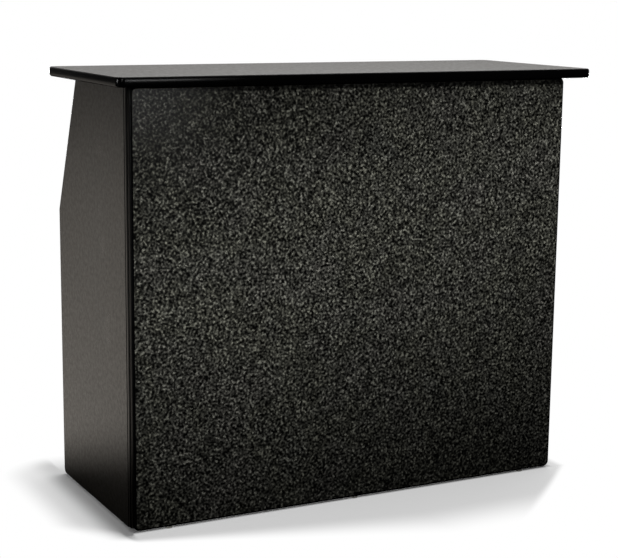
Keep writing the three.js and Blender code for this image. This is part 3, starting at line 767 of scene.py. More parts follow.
class Shapes:
    """Plain meshes and outlines that the sub-assemblies share."""

    least_round = 0.5 * MM

    @staticmethod
    def rectangle(low: Point, high: Point, radius: float) -> list[Corner]:
        """Corner places and radii of a rectangular board, anticlockwise."""
        sides = ((low[0], low[1]), (high[0], low[1]), (high[0], high[1]), (low[0], high[1]))
        return [(u, v, radius) for u, v in sides]

    @classmethod
    def outline(cls, corners: Sequence[Corner], inset: float, steps: int = 14) -> list[Point]:
        """Rounded outline of a convex board.

        Args:
            corners: Corner places and radii, anticlockwise.
            inset: How far every edge moves inwards.
            steps: Points along each rounded corner.

        Returns:
            Points of the closed outline, anticlockwise.
        """
        count = len(corners)
        places = [Vector((u, v)) for u, v, _ in corners]
        alongs = [(places[(i + 1) % count] - places[i]).normalized() for i in range(count)]
        inwards = [Vector((-along.y, along.x)) for along in alongs]
        points: list[Point] = []
        for i, (_, _, radius) in enumerate(corners):
            before, after = i - 1, i
            round_to = max(radius - inset, cls.least_round)
            offset = inset + round_to
            first = places[i] + inwards[before] * offset
            second = places[i] + inwards[after] * offset
            gap = second - first
            turn = alongs[before].x * alongs[after].y - alongs[before].y * alongs[after].x
            reach = (gap.x * alongs[after].y - gap.y * alongs[after].x) / turn
            centre = first + alongs[before] * reach
            start = math.atan2(-inwards[before].y, -inwards[before].x)
            sweep = math.atan2(turn, alongs[before].dot(alongs[after]))
            for k in range(steps + 1):
                angle = start + sweep * k / steps
                points.append((centre.x + round_to * math.cos(angle), centre.y + round_to * math.sin(angle)))
        return points

    @staticmethod
    def wire(points: Sequence[Point], closed: bool) -> bpy.types.Mesh:
        """Chain of edges in the XY plane.

        Args:
            points: Points along the chain.
            closed: Whether the last point joins the first.

        Returns:
            Mesh with edges only.
        """
        count = len(points)
        links = [(i, (i + 1) % count) for i in range(count if closed else count - 1)]
        mesh = bpy.data.meshes.new("wire")
        mesh.from_pydata([(u, v, 0.0) for u, v in points], links, [])
        return mesh

    @staticmethod
    def dots(places: Sequence[Vector]) -> bpy.types.Mesh:
        """Loose points.

        Args:
            places: Where they are.

        Returns:
            Mesh with vertices only.
        """
        mesh = bpy.data.meshes.new("dots")
        mesh.from_pydata([tuple(place) for place in places], [], [])
        return mesh

    @staticmethod
    def button(radius: float, depth: float, bevel: float, hole: float, cone: float) -> list[Point]:
        """Profile of a round button with a coned screw hole, with its face at z = 0.

        Args:
            radius: Radius of the button.
            depth: Its thickness.
            bevel: Bevel of its rim.
            hole: Radius of the hole at the face.
            cone: Depth of the cone.

        Returns:
            Radius and height points.
        """
        return [
            (0.0, -depth), (radius, -depth), (radius, -bevel), (radius - bevel, 0.0),
            (hole, 0.0), (hole - cone, -cone), (0.0, -cone),
        ]

    @staticmethod
    def circle(radius: float, sides: int) -> list[Point]:
        """Points of a circle, or its middle alone where the radius is zero."""
        angles = [math.tau * k / sides for k in range(sides if radius else 1)]
        return [(radius * math.cos(angle), radius * math.sin(angle)) for angle in angles]

    @staticmethod
    def lofted(name: str, rings: Sequence[Sequence[Place]]) -> bpy.types.Mesh:
        """Mesh through rings of points about Z.

        Args:
            name: Mesh name.
            rings: Points of each ring, anticlockwise, with a single point where a ring closes on the axis.

        Returns:
            The mesh.
        """
        shape = bmesh.new()
        rows = [[shape.verts.new(point) for point in ring] for ring in rings]
        for first, second in zip(rows, rows[1:]):
            for k in range(max(len(first), len(second))):
                corners = (first[k % len(first)], first[(k + 1) % len(first)])
                corners += (second[(k + 1) % len(second)], second[k % len(second)])
                shape.faces.new(list(dict.fromkeys(corners)))
        mesh = bpy.data.meshes.new(name)
        shape.to_mesh(mesh)
        shape.free()
        return mesh

    @classmethod
    def turned(cls, profile: Sequence[Point], sides: int = 40) -> bpy.types.Mesh:
        """Turned piece about Z.

        Args:
            profile: Radius and height points, from the axis, up the outside and back to the axis.
            sides: Facets round the axis.

        Returns:
            Closed mesh.
        """
        rings = [[(x, y, height) for x, y in cls.circle(radius, sides)] for radius, height in profile]
        return cls.lofted("turned", rings)

    @classmethod
    def screw_head(cls, radius: float, crown: float, recess: float, sides: int = 32) -> bpy.types.Mesh:
        """Raised countersunk head with a cross recess, looking up from z = 0.

        Args:
            radius: Radius of the head.
            crown: Height of its middle.
            recess: Depth of the cross.
            sides: Facets round the head.

        Returns:
            Open cap mesh with a short skirt.
        """
        shares = (1.0, 0.96, 0.86, 0.7, 0.6, 0.5, 0.39, 0.26, 0.13, 0.0)
        arm, reach, taper = 0.17, 0.66, 0.5
        skirt = 0.4 * MM
        rings = [[(x, y, -skirt) for x, y in cls.circle(radius, sides)]]
        for share in shares:
            ring = []
            for x, y in cls.circle(share, sides):
                height = crown * (1.0 - share * share)
                if min(abs(x), abs(y)) < arm and max(abs(x), abs(y)) < reach:
                    height -= recess * (1.0 - taper * share)
                ring.append((radius * x, radius * y, height))
            rings.append(ring)
        return cls.lofted("screw_head", rings)


# Geometry node trees


class Tree:
    """Geometry node tree with named inputs, listed by kind. Subclasses lay out the nodes."""

    name = "tree"
    inputs: dict[str, tuple[str, ...]] = {}

    def __init__(self) -> None:
        """Builds the tree."""
        self.group = bpy.data.node_groups.new(self.name, "GeometryNodeTree")
        interface = self.group.interface
        interface.new_socket("Geometry", in_out="INPUT", socket_type="NodeSocketGeometry")
        for kind, labels in {**self.inputs, "NodeSocketMaterial": ("Material",)}.items():
            for label in labels:
                interface.new_socket(label, in_out="INPUT", socket_type=kind)
        interface.new_socket("Geometry", in_out="OUTPUT", socket_type="NodeSocketGeometry")
        self.graph = Graph(self.group)
        self.entry = self.graph.add("NodeGroupInput")
        solid = self.graph.add("GeometryNodeRealizeInstances", inputs={"Geometry": self.layout()})
        dressed = self.graph.add(
            "GeometryNodeSetMaterial",
            inputs={"Geometry": solid, "Material": self.given("Material")},
        )
        self.graph.add("NodeGroupOutput", inputs={"Geometry": dressed})

    def layout(self) -> Value:
        """Lays out the nodes and hands back the shape."""
        raise NotImplementedError

    def given(self, label: str) -> Value:
        """One of the tree's named inputs."""
        return self.entry.also(label)

    def piece(self, label: str) -> Value:
        """Shape of an object that is a named input."""
        return self.graph.add("GeometryNodeObjectInfo", inputs={"Object": self.given(label)}, out="Geometry")

    def block(self, size: Value, place: Value) -> Value:
        """Box of a given size with its middle at a place."""
        box = self.graph.add("GeometryNodeMeshCube", inputs={"Size": size}, out="Mesh")
        return self.graph.add("GeometryNodeTransform", inputs={"Geometry": box, "Translation": place})

    def line(self, count: Value, start: Value, step: Value) -> Value:
        """Row of points."""
        inputs = {"Count": count, "Start Location": start, "Offset": step}
        return self.graph.add("GeometryNodeMeshLine", {"mode": "OFFSET"}, inputs)

    def copies(self, points: Value, piece: Value, turn: Optional[Value] = None) -> Value:
        """Copies of a piece on points, each turned the same way.

        Args:
            points: Where they stand.
            piece: Shape to copy.
            turn: Angles about the three axes.

        Returns:
            The instances.
        """
        inputs = {"Points": points, "Instance": piece}
        if turn is not None:
            inputs["Rotation"] = turn
        return self.graph.add("GeometryNodeInstanceOnPoints", inputs=inputs)

    def spun(self, row: Value, most: Operand, seed: int) -> Value:
        """Instances with a random spin about their own axes.

        Args:
            row: The instances.
            most: Largest angle.
            seed: Seed of the random draw.

        Returns:
            The spun instances.
        """
        draw = {"Min_001": 0.0, "Max_001": most, "Seed": seed}
        spin = self.graph.add("FunctionNodeRandomValue", {"data_type": "FLOAT"}, draw, "Value_001")
        turn = {"Instances": row, "Rotation": self.graph.point(0.0, 0.0, spin), "Local Space": True}
        return self.graph.add("GeometryNodeRotateInstances", inputs=turn)

    def bake(self, name: str, start: bpy.types.Mesh, finish: Finish, **sizes: Any) -> bpy.types.Mesh:
        """Runs the tree on a mesh.

        Args:
            name: Name of the new mesh.
            start: Mesh that the tree starts from.
            finish: Finish of the result.
            sizes: Values of the named inputs.

        Returns:
            Plain mesh of the result.
        """
        holder = bpy.data.objects.new(name, start)
        bpy.context.scene.collection.objects.link(holder)
        modifier = holder.modifiers.new(self.name, "NODES")
        modifier.node_group = self.group
        values = {**sizes, "Material": finish.material()}
        for item in self.group.interface.items_tree:
            if item.in_out == "INPUT" and item.name in values:
                modifier[item.identifier] = values[item.name]
        graph = bpy.context.evaluated_depsgraph_get()
        result = bpy.data.meshes.new_from_object(holder.evaluated_get(graph))
        holder.modifiers.remove(modifier)
        bpy.data.objects.remove(holder)
        bpy.data.meshes.remove(start)
        result.name = name
        return result


class EdgingTree(Tree):
    """Sweeps a crowned strip along a board's outline, with its outer corners rounded."""

    name = "edging_sweep"
    inputs = {"NodeSocketFloat": ("Width", "Thickness", "Round", "Crown")}
    round_steps = 8
    cuts = 5

    def layout(self) -> Value:
        """Draws the section and sweeps it.

        Returns:
            The strip.
        """
        graph = self.graph
        path = graph.add("GeometryNodeMeshToCurve", inputs={"Mesh": self.given("Geometry")})
        path = graph.add("GeometryNodeSetCurveNormal", {"mode": "Z_UP"}, {"Curve": path})
        sizes = {"Width": self.given("Thickness"), "Height": self.given("Width")}
        section = graph.add("GeometryNodeCurvePrimitiveQuadrilateral", {"mode": "RECTANGLE"}, sizes)
        x, y, _ = graph.split(graph.add("GeometryNodeInputPosition"))
        outer = x > 0.0
        section = graph.add(
            "GeometryNodeFilletCurve",
            {"mode": "POLY"},
            {
                "Curve": section,
                "Count": self.round_steps,
                "Radius": outer * self.given("Round"),
                "Limit Radius": True,
            },
        )
        section = graph.add("GeometryNodeSubdivideCurve", inputs={"Curve": section, "Cuts": self.cuts})
        share = y * 2.0 / self.given("Width")
        drop = graph.point(-1.0 * (outer * self.given("Crown") * share * share), 0.0)
        section = graph.add("GeometryNodeSetPosition", inputs={"Geometry": section, "Offset": drop})
        sweep = {"Curve": path, "Profile Curve": section, "Fill Caps": True}
        return graph.add("GeometryNodeCurveToMesh", inputs=sweep)


class HingeTree(Tree):
    """One leaf of a continuous hinge up the Z axis: strip, every second knuckle and a row of screws."""

    name = "hinge_leaf"
    inputs = {
        "NodeSocketFloat": (
            "Length", "Width", "Radius", "Thickness", "Relief", "Pitch", "Gap", "Wall", "Spread",
        ),
        "NodeSocketInt": ("First", "Knuckles", "Screws"),
        "NodeSocketObject": ("Screw",),
    }
    sides = 24
    seed = 7

    def layout(self) -> Value:
        """Lays out the strip, the knuckles, their tabs and the screws.

        Returns:
            The leaf.
        """
        graph = self.graph
        wall, spread = self.given("Wall"), self.given("Spread")
        length, width = self.given("Length"), self.given("Width")
        radius, thickness = self.given("Radius"), self.given("Thickness")
        relief, pitch = self.given("Relief"), self.given("Pitch")
        barrel = pitch - self.given("Gap")
        depth = wall * (radius - thickness / 2.0)
        across = spread * (relief + width) / 2.0
        tab = relief + thickness
        strip = self.block(
            graph.point(thickness, width - relief, length),
            graph.point(depth, across, length / 2.0),
        )
        knuckle = graph.add(
            "GeometryNodeMeshCylinder",
            inputs={"Vertices": self.sides, "Radius": radius, "Depth": barrel},
            out="Mesh",
        )
        tabs = self.block(graph.point(thickness, tab, barrel), graph.point(depth, spread * tab / 2.0))
        link = graph.add("GeometryNodeJoinGeometry", inputs={"Geometry": [knuckle, tabs]})
        row = self.line(
            self.given("Knuckles"),
            graph.point(0.0, 0.0, (self.given("First") + 0.5) * pitch),
            graph.point(0.0, 0.0, pitch * 2.0),
        )
        step = length / self.given("Screws")
        holes = self.line(
            self.given("Screws"),
            graph.point(wall * (radius - thickness), across, step / 2.0),
            graph.point(0.0, 0.0, step),
        )
        screws = self.copies(holes, self.piece("Screw"), graph.point(0.0, wall * -QUARTER))
        pieces = [strip, self.copies(row, link), self.spun(screws, math.pi, self.seed)]
        return graph.add("GeometryNodeJoinGeometry", inputs={"Geometry": pieces})


class RowTree(Tree):
    """Sets one small piece at each of the points, turned to a given direction, with a random spin."""

    name = "piece_row"
    inputs = {
        "NodeSocketObject": ("Piece",),
        "NodeSocketVector": ("Tilt",),
        "NodeSocketFloat": ("Spin",),
    }
    seed = 3

    def layout(self) -> Value:
        """Sets the pieces and spins them."""
        row = self.copies(self.given("Geometry"), self.piece("Piece"), self.given("Tilt"))
        return self.spun(row, self.given("Spin"), self.seed)


class Shop:
    """The trees and template shapes that every sub-assembly works with."""

    def __init__(self) -> None:
        """Builds the trees and the screw templates."""
        self.edging = EdgingTree()
        self.hinge = HingeTree()
        self.row = RowTree()
        self.hinge_screw = self.template(Shapes.screw_head(3.05 * MM, 0.32 * MM, 0.9 * MM))
        self.wood_screw = self.template(Shapes.screw_head(4.0 * MM, 0.7 * MM, 1.2 * MM))
        self.small_screw = self.template(Shapes.screw_head(2.4 * MM, 0.35 * MM, 0.7 * MM))

    @staticmethod
    def template(mesh: bpy.types.Mesh) -> bpy.types.Object:
        """Object that a tree can copy, outside the scene.

        Args:
            mesh: Its shape.

        Returns:
            The object.
        """
        for face in mesh.polygons:
            face.use_smooth = True
        return bpy.data.objects.new("template", mesh)

    @staticmethod
    def clear() -> None:
        """Removes the templates."""
        for entry in [entry for entry in bpy.data.objects if entry.name.startswith("template")]:
            bpy.data.objects.remove(entry)


def show(
    name: str,
    mesh: bpy.types.Mesh,
    body: str,
    finish: Finish,
    instead_of: Sequence[str] = (),
    sharp: float = 32.0,
) -> None:
    """Puts a finished mesh in the scene and ties it to its body.

    Args:
        name: Piece name.
        mesh: Mesh in the model's frame.
        body: Body that carries it.
        finish: Its finish.
        instead_of: Nodes that it stands for.
        sharp: Edges that turn by more degrees than this stay crisp.
    """
    mesh.name = name
    mesh.materials.clear()
    mesh.materials.append(finish.material())
    for face in mesh.polygons:
        face.use_smooth = True
        face.material_index = 0
    mesh.set_sharp_from_angle(angle=math.radians(sharp))
    piece = bpy.data.objects.new(name, mesh)
    bpy.context.scene.collection.objects.link(piece)
    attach(piece, body)
    if instead_of:
        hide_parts(*instead_of)
    log.info("%s rides on %s, %d faces", name, body, len(mesh.polygons))


def dress(finish: Finish, *nodes: str) -> None:
    """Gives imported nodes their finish.

    Args:
        finish: The finish.
        nodes: Node names.
    """
    for name in nodes:
        node = frame["nodes"][name]
        if not node.material_slots:
            node.data.materials.append(finish.material())
        for entry in node.material_slots:
            entry.material = finish.material()
        log.info("%s dressed in %s", name, finish.name)


def axes(x: Sequence[float], y: Sequence[float], z: Sequence[float], origin: Sequence[float]) -> Matrix:
    """Matrix that lays a piece's own axes along the given directions, with its own origin at a place."""
    turn = Matrix((x, y, z)).transposed().to_4x4()
    return Matrix.Translation(origin) @ turn


def within(node: str, x: float = 0.5, y: float = 0.5, z: float = 0.5) -> Vector:
    """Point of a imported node's box, at shares of its sides that run from 0 at the low end to 1."""
    low, high = (Vector(corner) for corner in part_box(node))
    return low + (high - low) * Vector((x, y, z))


# Sub-assemblies


@dataclass
class Edging:
    """Moulded strip round one board or along one edge."""

    shop: Shop
    section: Section = Section.BROAD
    finish: Finish = Finishes.EDGING

    @property
    def thickness(self) -> float:
        """Thickness of the strip."""
        return self.section.value[0]

    def strip(self, name: str, points: Sequence[Point], closed: bool, width: float) -> bpy.types.Mesh:
        """Sweeps the strip along a path in its own XY plane.

        Args:
            name: Mesh name.
            points: Path along the middle of the strip, with the outside on its right.
            closed: Whether the path is a loop.
            width: Width of the strip across the board's edge.

        Returns:
            The strip, centred on z = 0.
        """
        thickness, corner, crown = self.section.value
        return self.shop.edging.bake(
            name, Shapes.wire(points, closed), self.finish,
            Width=width, Thickness=thickness, Round=corner, Crown=crown,
        )

    def around(self, name: str, body: str, corners: Sequence[Corner], place: Matrix, board: float) -> None:
        """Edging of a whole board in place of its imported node.

        Args:
            name: Node that it stands for.
            body: Body that carries the board.
            corners: Outline of the board in its own plane.
            place: Where the board's own axes lie.
            board: Thickness of the board.
        """
        path = Shapes.outline(corners, self.thickness / 2)
        mesh = self.strip(name, path, True, board)
        mesh.transform(place @ Matrix.Translation((0.0, 0.0, board / 2)))
        show(f"{name}_strip", mesh, body, self.finish, [name])


@dataclass
class Hinge:
    """Continuous hinge between two bodies, drawn on its packed pin."""

    shop: Shop
    pin: str
    finish: Finish
    radius: float = 3.0 * MM
    thickness: float = 1.5 * MM
    relief: float = 3.5 * MM
    gap: float = 0.5 * MM
    knuckle: float = 25.4 * MM
    screw_pitch: float = 140 * MM

    def leaf(self, node: str, body: str, width: float, lie: Lie, wall: int, spread: int, first: int) -> None:
        """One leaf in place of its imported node.

        Args:
            node: Node that it stands for.
            body: Body that carries it.
            width: How far it spreads from the pin.
            lie: How it lies on the pin, with the pin's lower end at its own origin.
            wall: Side of the pin, in its own x, that it is fixed on.
            spread: Way it spreads in its own y.
            first: Number of its first knuckle.
        """
        low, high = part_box(self.pin)
        length = max(b - a for a, b in zip(low, high))
        count = 2 * round(length / self.knuckle / 2) + 1
        mesh = self.shop.hinge.bake(
            node, Shapes.dots([]), self.finish,
            Length=length, Width=width, Radius=self.radius, Thickness=self.thickness, Relief=self.relief,
            Pitch=length / count, Gap=self.gap, First=first, Knuckles=(count - first + 1) // 2,
            Screws=round(length / self.screw_pitch), Wall=float(wall), Spread=float(spread),
            Screw=self.shop.hinge_screw,
        )
        end = within(self.pin) - Vector(lie.value[2]) * length / 2
        mesh.transform(axes(*lie.value, end))
        show(f"{node}_fine", mesh, body, self.finish, [node])


@dataclass
class Assembly:
    """Pieces that ride on one body."""

    shop: Shop
    body: str

    def build(self) -> None:
        """Dresses the solids and makes the trim."""
        raise NotImplementedError

    def turned_row(
        self,
        name: str,
        finish: Finish,
        profile: Sequence[Point],
        nodes: Sequence[str],
        places: Sequence[Vector],
        facing: Facing = Facing.UP,
    ) -> None:
        """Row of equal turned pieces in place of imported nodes.

        Args:
            name: Piece name.
            finish: Their finish.
            profile: Radius and height points of one piece.
            nodes: Nodes that they stand for.
            places: Where each stands.
            facing: Way that they face.
        """
        part = self.shop.template(Shapes.turned(profile))
        mesh = self.shop.row.bake(name, Shapes.dots(places), finish, Piece=part, Tilt=facing.value, Spin=0.0)
        show(name, mesh, self.body, finish, nodes)

    def screw_row(
        self,
        name: str,
        head: bpy.types.Object,
        places: Sequence[Vector],
        facing: Facing,
        sink: float,
    ) -> None:
        """Screws that face the same way.

        Args:
            name: Piece name.
            head: Template of the head.
            places: Where each meets the surface.
            facing: Way that they face.
            sink: How far each seats below the surface.
        """
        seats = [place - facing.way * sink for place in places]
        mesh = self.shop.row.bake(
            name, Shapes.dots(seats), Finishes.SCREW, Piece=head, Tilt=facing.value, Spin=math.pi,
        )
        show(name, mesh, self.body, Finishes.SCREW)

    def glides(self, *ends: str) -> None:
        """Glides under the body's board, named by where they stand."""
        nodes = [f"{self.body}_{end}_glide" for end in ends]
        places = [within(node, z=0.0) for node in nodes]
        self.turned_row(f"{self.body}_glides", Finishes.GLIDE, GLIDE_PROFILE, nodes, places)


@dataclass
class FrontAssembly(Assembly):
    """Front board with its stiles, fixed hinge leaves, catches, sockets and glides."""

    corner: float = 15 * MM
    stile_leaf_width: float = 16 * MM
    wall_leaf_width: float = 22 * MM
    cover_width: float = 10 * MM
    socket_radius: float = 5.8 * MM
    socket_bore: float = 4.4 * MM
    socket_bevel: float = 0.25 * MM
    socket_lead: float = 0.6 * MM
    socket_floor: float = 2 * MM
    magnet_radius: float = 9 * MM
    magnet_depth: float = 5 * MM
    magnet_bevel: float = 0.4 * MM
    magnet_hole: float = 3.4 * MM
    magnet_cone: float = 1.2 * MM
    magnet_screw_sink: float = 0.9 * MM
    catch_screw_shares: Span = (0.14, 0.86)
    catch_screw_sink: float = 0.05 * MM

    def build(self) -> None:
        """Dresses the solids and makes the trim."""
        dress(Finishes.CORE, "front_core")
        dress(Finishes.STONE, "front_facing")
        dress(Finishes.LINING, "front_lining")
        dress(Finishes.STILE, "left_stile", "right_stile")
        dress(Finishes.CATCH, "left_fold_magnet", "right_fold_magnet")
        dress(Finishes.HINGE, "left_hinge_pin", "right_hinge_pin")
        dress(Finishes.SHELF_HINGE, "upper_shelf_hinge_pin", "lower_shelf_hinge_pin")
        self.edge()
        self.covers()
        self.hinges()
        self.sockets()
        self.magnets()
        self.catch_screws()
        self.glides("left", "middle", "right")

    def edge(self) -> None:
        """Edging round the front board."""
        low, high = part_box("front_edging")
        corners = Shapes.rectangle((low[0], low[2]), (high[0], high[2]), self.corner)
        place = axes((1, 0, 0), (0, 0, 1), (0, -1, 0), (0.0, high[1], 0.0))
        Edging(self.shop).around("front_edging", self.body, corners, place, high[1] - low[1])

    def covers(self) -> None:
        """Black strips on the outer ends of the stiles, along their joints with the front board."""
        edging = Edging(self.shop, Section.COVER)
        for hand in Hand:
            name = f"{hand.word}_stile_cover"
            low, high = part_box(f"{hand.word}_stile")
            face = high[0] if hand is Hand.RIGHT else low[0]
            ends = sorted((low[2], high[2]), reverse=hand is Hand.RIGHT)
            mesh = edging.strip(name, [(end, 0.0) for end in ends], False, self.cover_width)
            middle = low[1] + self.cover_width / 2
            mesh.transform(axes((0, 0, 1), (1, 0, 0), (0, 1, 0), (face, middle, 0.0)))
            show(name, mesh, self.body, edging.finish)

    def hinges(self) -> None:
        """Fixed leaves of the side hinges and of the shelf hinges."""
        for hand in Hand:
            hinge = Hinge(self.shop, f"{hand.word}_hinge_pin", Finishes.HINGE)
            hinge.leaf(
                f"{hand.word}_stile_leaf", self.body, self.stile_leaf_width, Lie.UPRIGHT,
                wall=hand.value, spread=-1, first=0,
            )
        for tier in Tier:
            hinge = Hinge(self.shop, f"{tier.value}_shelf_hinge_pin", Finishes.SHELF_HINGE)
            hinge.leaf(
                f"{tier.value}_shelf_wall_leaf", self.body, self.wall_leaf_width, Lie.ON_FRONT,
                wall=-1, spread=-1, first=0,
            )

    def sockets(self) -> None:
        """Sockets in the top edge that take the counter's pins."""
        nodes = [f"{hand.word}_counter_socket" for hand in Hand]
        low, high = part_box(nodes[0])
        depth = high[2] - low[2]
        ground = self.socket_floor - depth
        outer, bore, bevel, lead = self.socket_radius, self.socket_bore, self.socket_bevel, self.socket_lead
        profile = [
            (0.0, -depth), (outer, -depth), (outer, -bevel), (outer - bevel, 0.0),
            (bore + lead, 0.0), (bore, -lead), (bore, ground), (0.0, ground),
        ]
        places = [within(node, z=1.0) for node in nodes]
        self.turned_row("counter_sockets", Finishes.SCREW, profile, nodes, places)

    def magnets(self) -> None:
        """Flush ring magnets that hold the stowed shelves, each with its screw."""
        nodes = [f"{tier.value}_shelf_magnet" for tier in Tier]
        places = [within(node, y=1.0) for node in nodes]
        profile = Shapes.button(
            self.magnet_radius, self.magnet_depth, self.magnet_bevel, self.magnet_hole, self.magnet_cone,
        )
        self.turned_row("shelf_magnets", Finishes.MAGNET, profile, nodes, places, Facing.REAR)
        head = self.shop.small_screw
        self.screw_row("magnet_screws", head, places, Facing.REAR, self.magnet_screw_sink)

    def catch_screws(self) -> None:
        """Two screws in each magnet block."""
        places = [
            within(f"{hand.word}_fold_magnet", x=share, y=1.0)
            for hand in Hand
            for share in self.catch_screw_shares
        ]
        head = self.shop.small_screw
        self.screw_row("catch_screws", head, places, Facing.REAR, self.catch_screw_sink)


@dataclass
class SideAssembly(Assembly):
    """One side board with its moving hinge leaf, cleats, strike plate and glides."""

    hand: Hand
    corner: float = 12 * MM
    hinge_corner: float = 3 * MM
    slope_start: float = 703 * MM
    top_setback: float = 145 * MM
    leaf_width: float = 26 * MM
    cleat_screw_shares: tuple[float, ...] = (0.1, 0.5, 0.9)
    cleat_screw_height: float = 0.6
    cleat_screw_sink: float = 0.2 * MM
    strike_screw_shares: Span = (0.2, 0.8)
    strike_screw_sink: float = 0.1 * MM

    def build(self) -> None:
        """Dresses the solids and makes the trim."""
        word = self.hand.word
        dress(Finishes.CORE, f"{word}_side_core")
        dress(Finishes.CHARCOAL, f"{word}_side_facing")
        dress(Finishes.LINING, f"{word}_side_lining")
        dress(Finishes.CLEAT, f"{word}_upper_cleat", f"{word}_lower_cleat")
        dress(Finishes.MAGNET, f"{word}_fold_strike")
        self.edge()
        self.leaf()
        self.screws()
        self.glides("front", "rear")

    def edge(self) -> None:
        """Edging round the side board, up the straight rear edge and the slope."""
        node = f"{self.hand.word}_side_edging"
        low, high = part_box(node)
        corners = [
            (low[1], low[2], self.hinge_corner), (high[1], low[2], self.corner),
            (high[1], self.slope_start, self.corner), (high[1] - self.top_setback, high[2], self.corner),
            (low[1], high[2], self.hinge_corner),
        ]
        place = axes((0, 1, 0), (0, 0, 1), (1, 0, 0), (low[0], 0.0, 0.0))
        Edging(self.shop, Section.FLAT).around(node, self.body, corners, place, high[0] - low[0])

    def leaf(self) -> None:
        """Moving leaf of the side's hinge."""
        word = self.hand.word
        Hinge(self.shop, f"{word}_hinge_pin", Finishes.HINGE).leaf(
            f"{word}_side_leaf", self.body, self.leaf_width, Lie.UPRIGHT,
            wall=self.hand.value, spread=1, first=1,
        )

    def screws(self) -> None:
        """Screws through the cleats and the strike plate into the side."""
        word = self.hand.word
        inner, facing = (1.0, Facing.RIGHT) if self.hand is Hand.LEFT else (0.0, Facing.LEFT)
        cleats = [
            within(f"{word}_{tier.value}_cleat", inner, share, self.cleat_screw_height)
            for tier in Tier
            for share in self.cleat_screw_shares
        ]
        strike = [within(f"{word}_fold_strike", inner, share) for share in self.strike_screw_shares]
        shop = self.shop
        self.screw_row(f"{word}_cleat_screws", shop.wood_screw, cleats, facing, self.cleat_screw_sink)
        self.screw_row(f"{word}_strike_screws", shop.small_screw, strike, facing, self.strike_screw_sink)


@dataclass
class ShelfAssembly(Assembly):
    """One shelf, stowed upright behind the front, with its nosing, hinge leaf and strike disc."""

    thickness: float = 18 * MM
    leaf_width: float = 14 * MM
    disc_radius: float = 9 * MM
    disc_depth: float = 2 * MM
    disc_bevel: float = 0.3 * MM
    disc_hole: float = 3.2 * MM
    disc_cone: float = 0.9 * MM
    disc_screw_sink: float = 0.7 * MM

    def build(self) -> None:
        """Dresses the solids and makes the trim."""
        dress(Finishes.SHELF, f"{self.body}_board")
        self.nosing()
        self.leaf()
        self.disc()

    def nosing(self) -> None:
        """Moulded strip along the free edge."""
        node = f"{self.body}_nosing"
        low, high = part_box(node)
        edging = Edging(self.shop, Section.FLAT)
        path = [(end, -edging.thickness / 2) for end in (high[0], low[0])]
        mesh = edging.strip(node, path, False, self.thickness)
        mesh.transform(axes((1, 0, 0), (0, 0, 1), (0, -1, 0), (0.0, (low[1] + high[1]) / 2, high[2])))
        show(f"{node}_strip", mesh, self.body, edging.finish, [node])

    def leaf(self) -> None:
        """Moving leaf of the shelf's hinge."""
        Hinge(self.shop, f"{self.body}_hinge_pin", Finishes.SHELF_HINGE).leaf(
            f"{self.body}_leaf", self.body, self.leaf_width, Lie.ON_SHELF, wall=1, spread=-1, first=1,
        )

    def disc(self) -> None:
        """Strike disc that meets the magnet, with its screw."""
        node = f"{self.body}_strike"
        places = [within(node, y=0.0)]
        profile = Shapes.button(
            self.disc_radius, self.disc_depth, self.disc_bevel, self.disc_hole, self.disc_cone,
        )
        self.turned_row(f"{node}_disc", Finishes.MAGNET, profile, [node], places, Facing.FRONT)
        self.screw_row(f"{node}_screw", self.shop.small_screw, places, Facing.FRONT, self.disc_screw_sink)


@dataclass
class CounterAssembly(Assembly):
    """Counter board that lifts off, with its edging and locating pins."""

    corner: float = 18 * MM
    pin_radius: float = 4 * MM
    pin_tip: float = 3 * MM
    tip_ease: Point = (0.6 * MM, 0.35 * MM)
    shoulder_ease: Point = (0.15 * MM, 0.3 * MM)

    def build(self) -> None:
        """Dresses the solids and makes the trim."""
        dress(Finishes.CORE, "counter_core")
        dress(Finishes.COUNTER, "counter_facing")
        dress(Finishes.LINING, "counter_lining")
        self.edge()
        self.pins()

    def edge(self) -> None:
        """Edging round the counter."""
        low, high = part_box("counter_edging")
        corners = Shapes.rectangle((low[0], low[1]), (high[0], high[1]), self.corner)
        place = Matrix.Translation((0.0, 0.0, low[2]))
        edging = Edging(self.shop, finish=Finishes.COUNTER_EDGING)
        edging.around("counter_edging", self.body, corners, place, high[2] - low[2])

    def pins(self) -> None:
        """Locating pins with a coned tip."""
        nodes = [f"{hand.word}_counter_pin" for hand in Hand]
        low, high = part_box(nodes[0])
        length = high[2] - low[2]
        radius, rise = self.pin_radius, self.pin_tip
        tip = radius - rise / 2
        inset, ease = self.shoulder_ease
        profile = [
            (0.0, 0.0), (tip - self.tip_ease[0], 0.0), (tip, self.tip_ease[1]), (radius - inset, rise - ease),
            (radius, rise + ease), (radius, length), (0.0, length),
        ]
        places = [within(node, z=0.0) for node in nodes]
        self.turned_row("counter_pins", Finishes.SCREW, profile, nodes, places)


# Studio


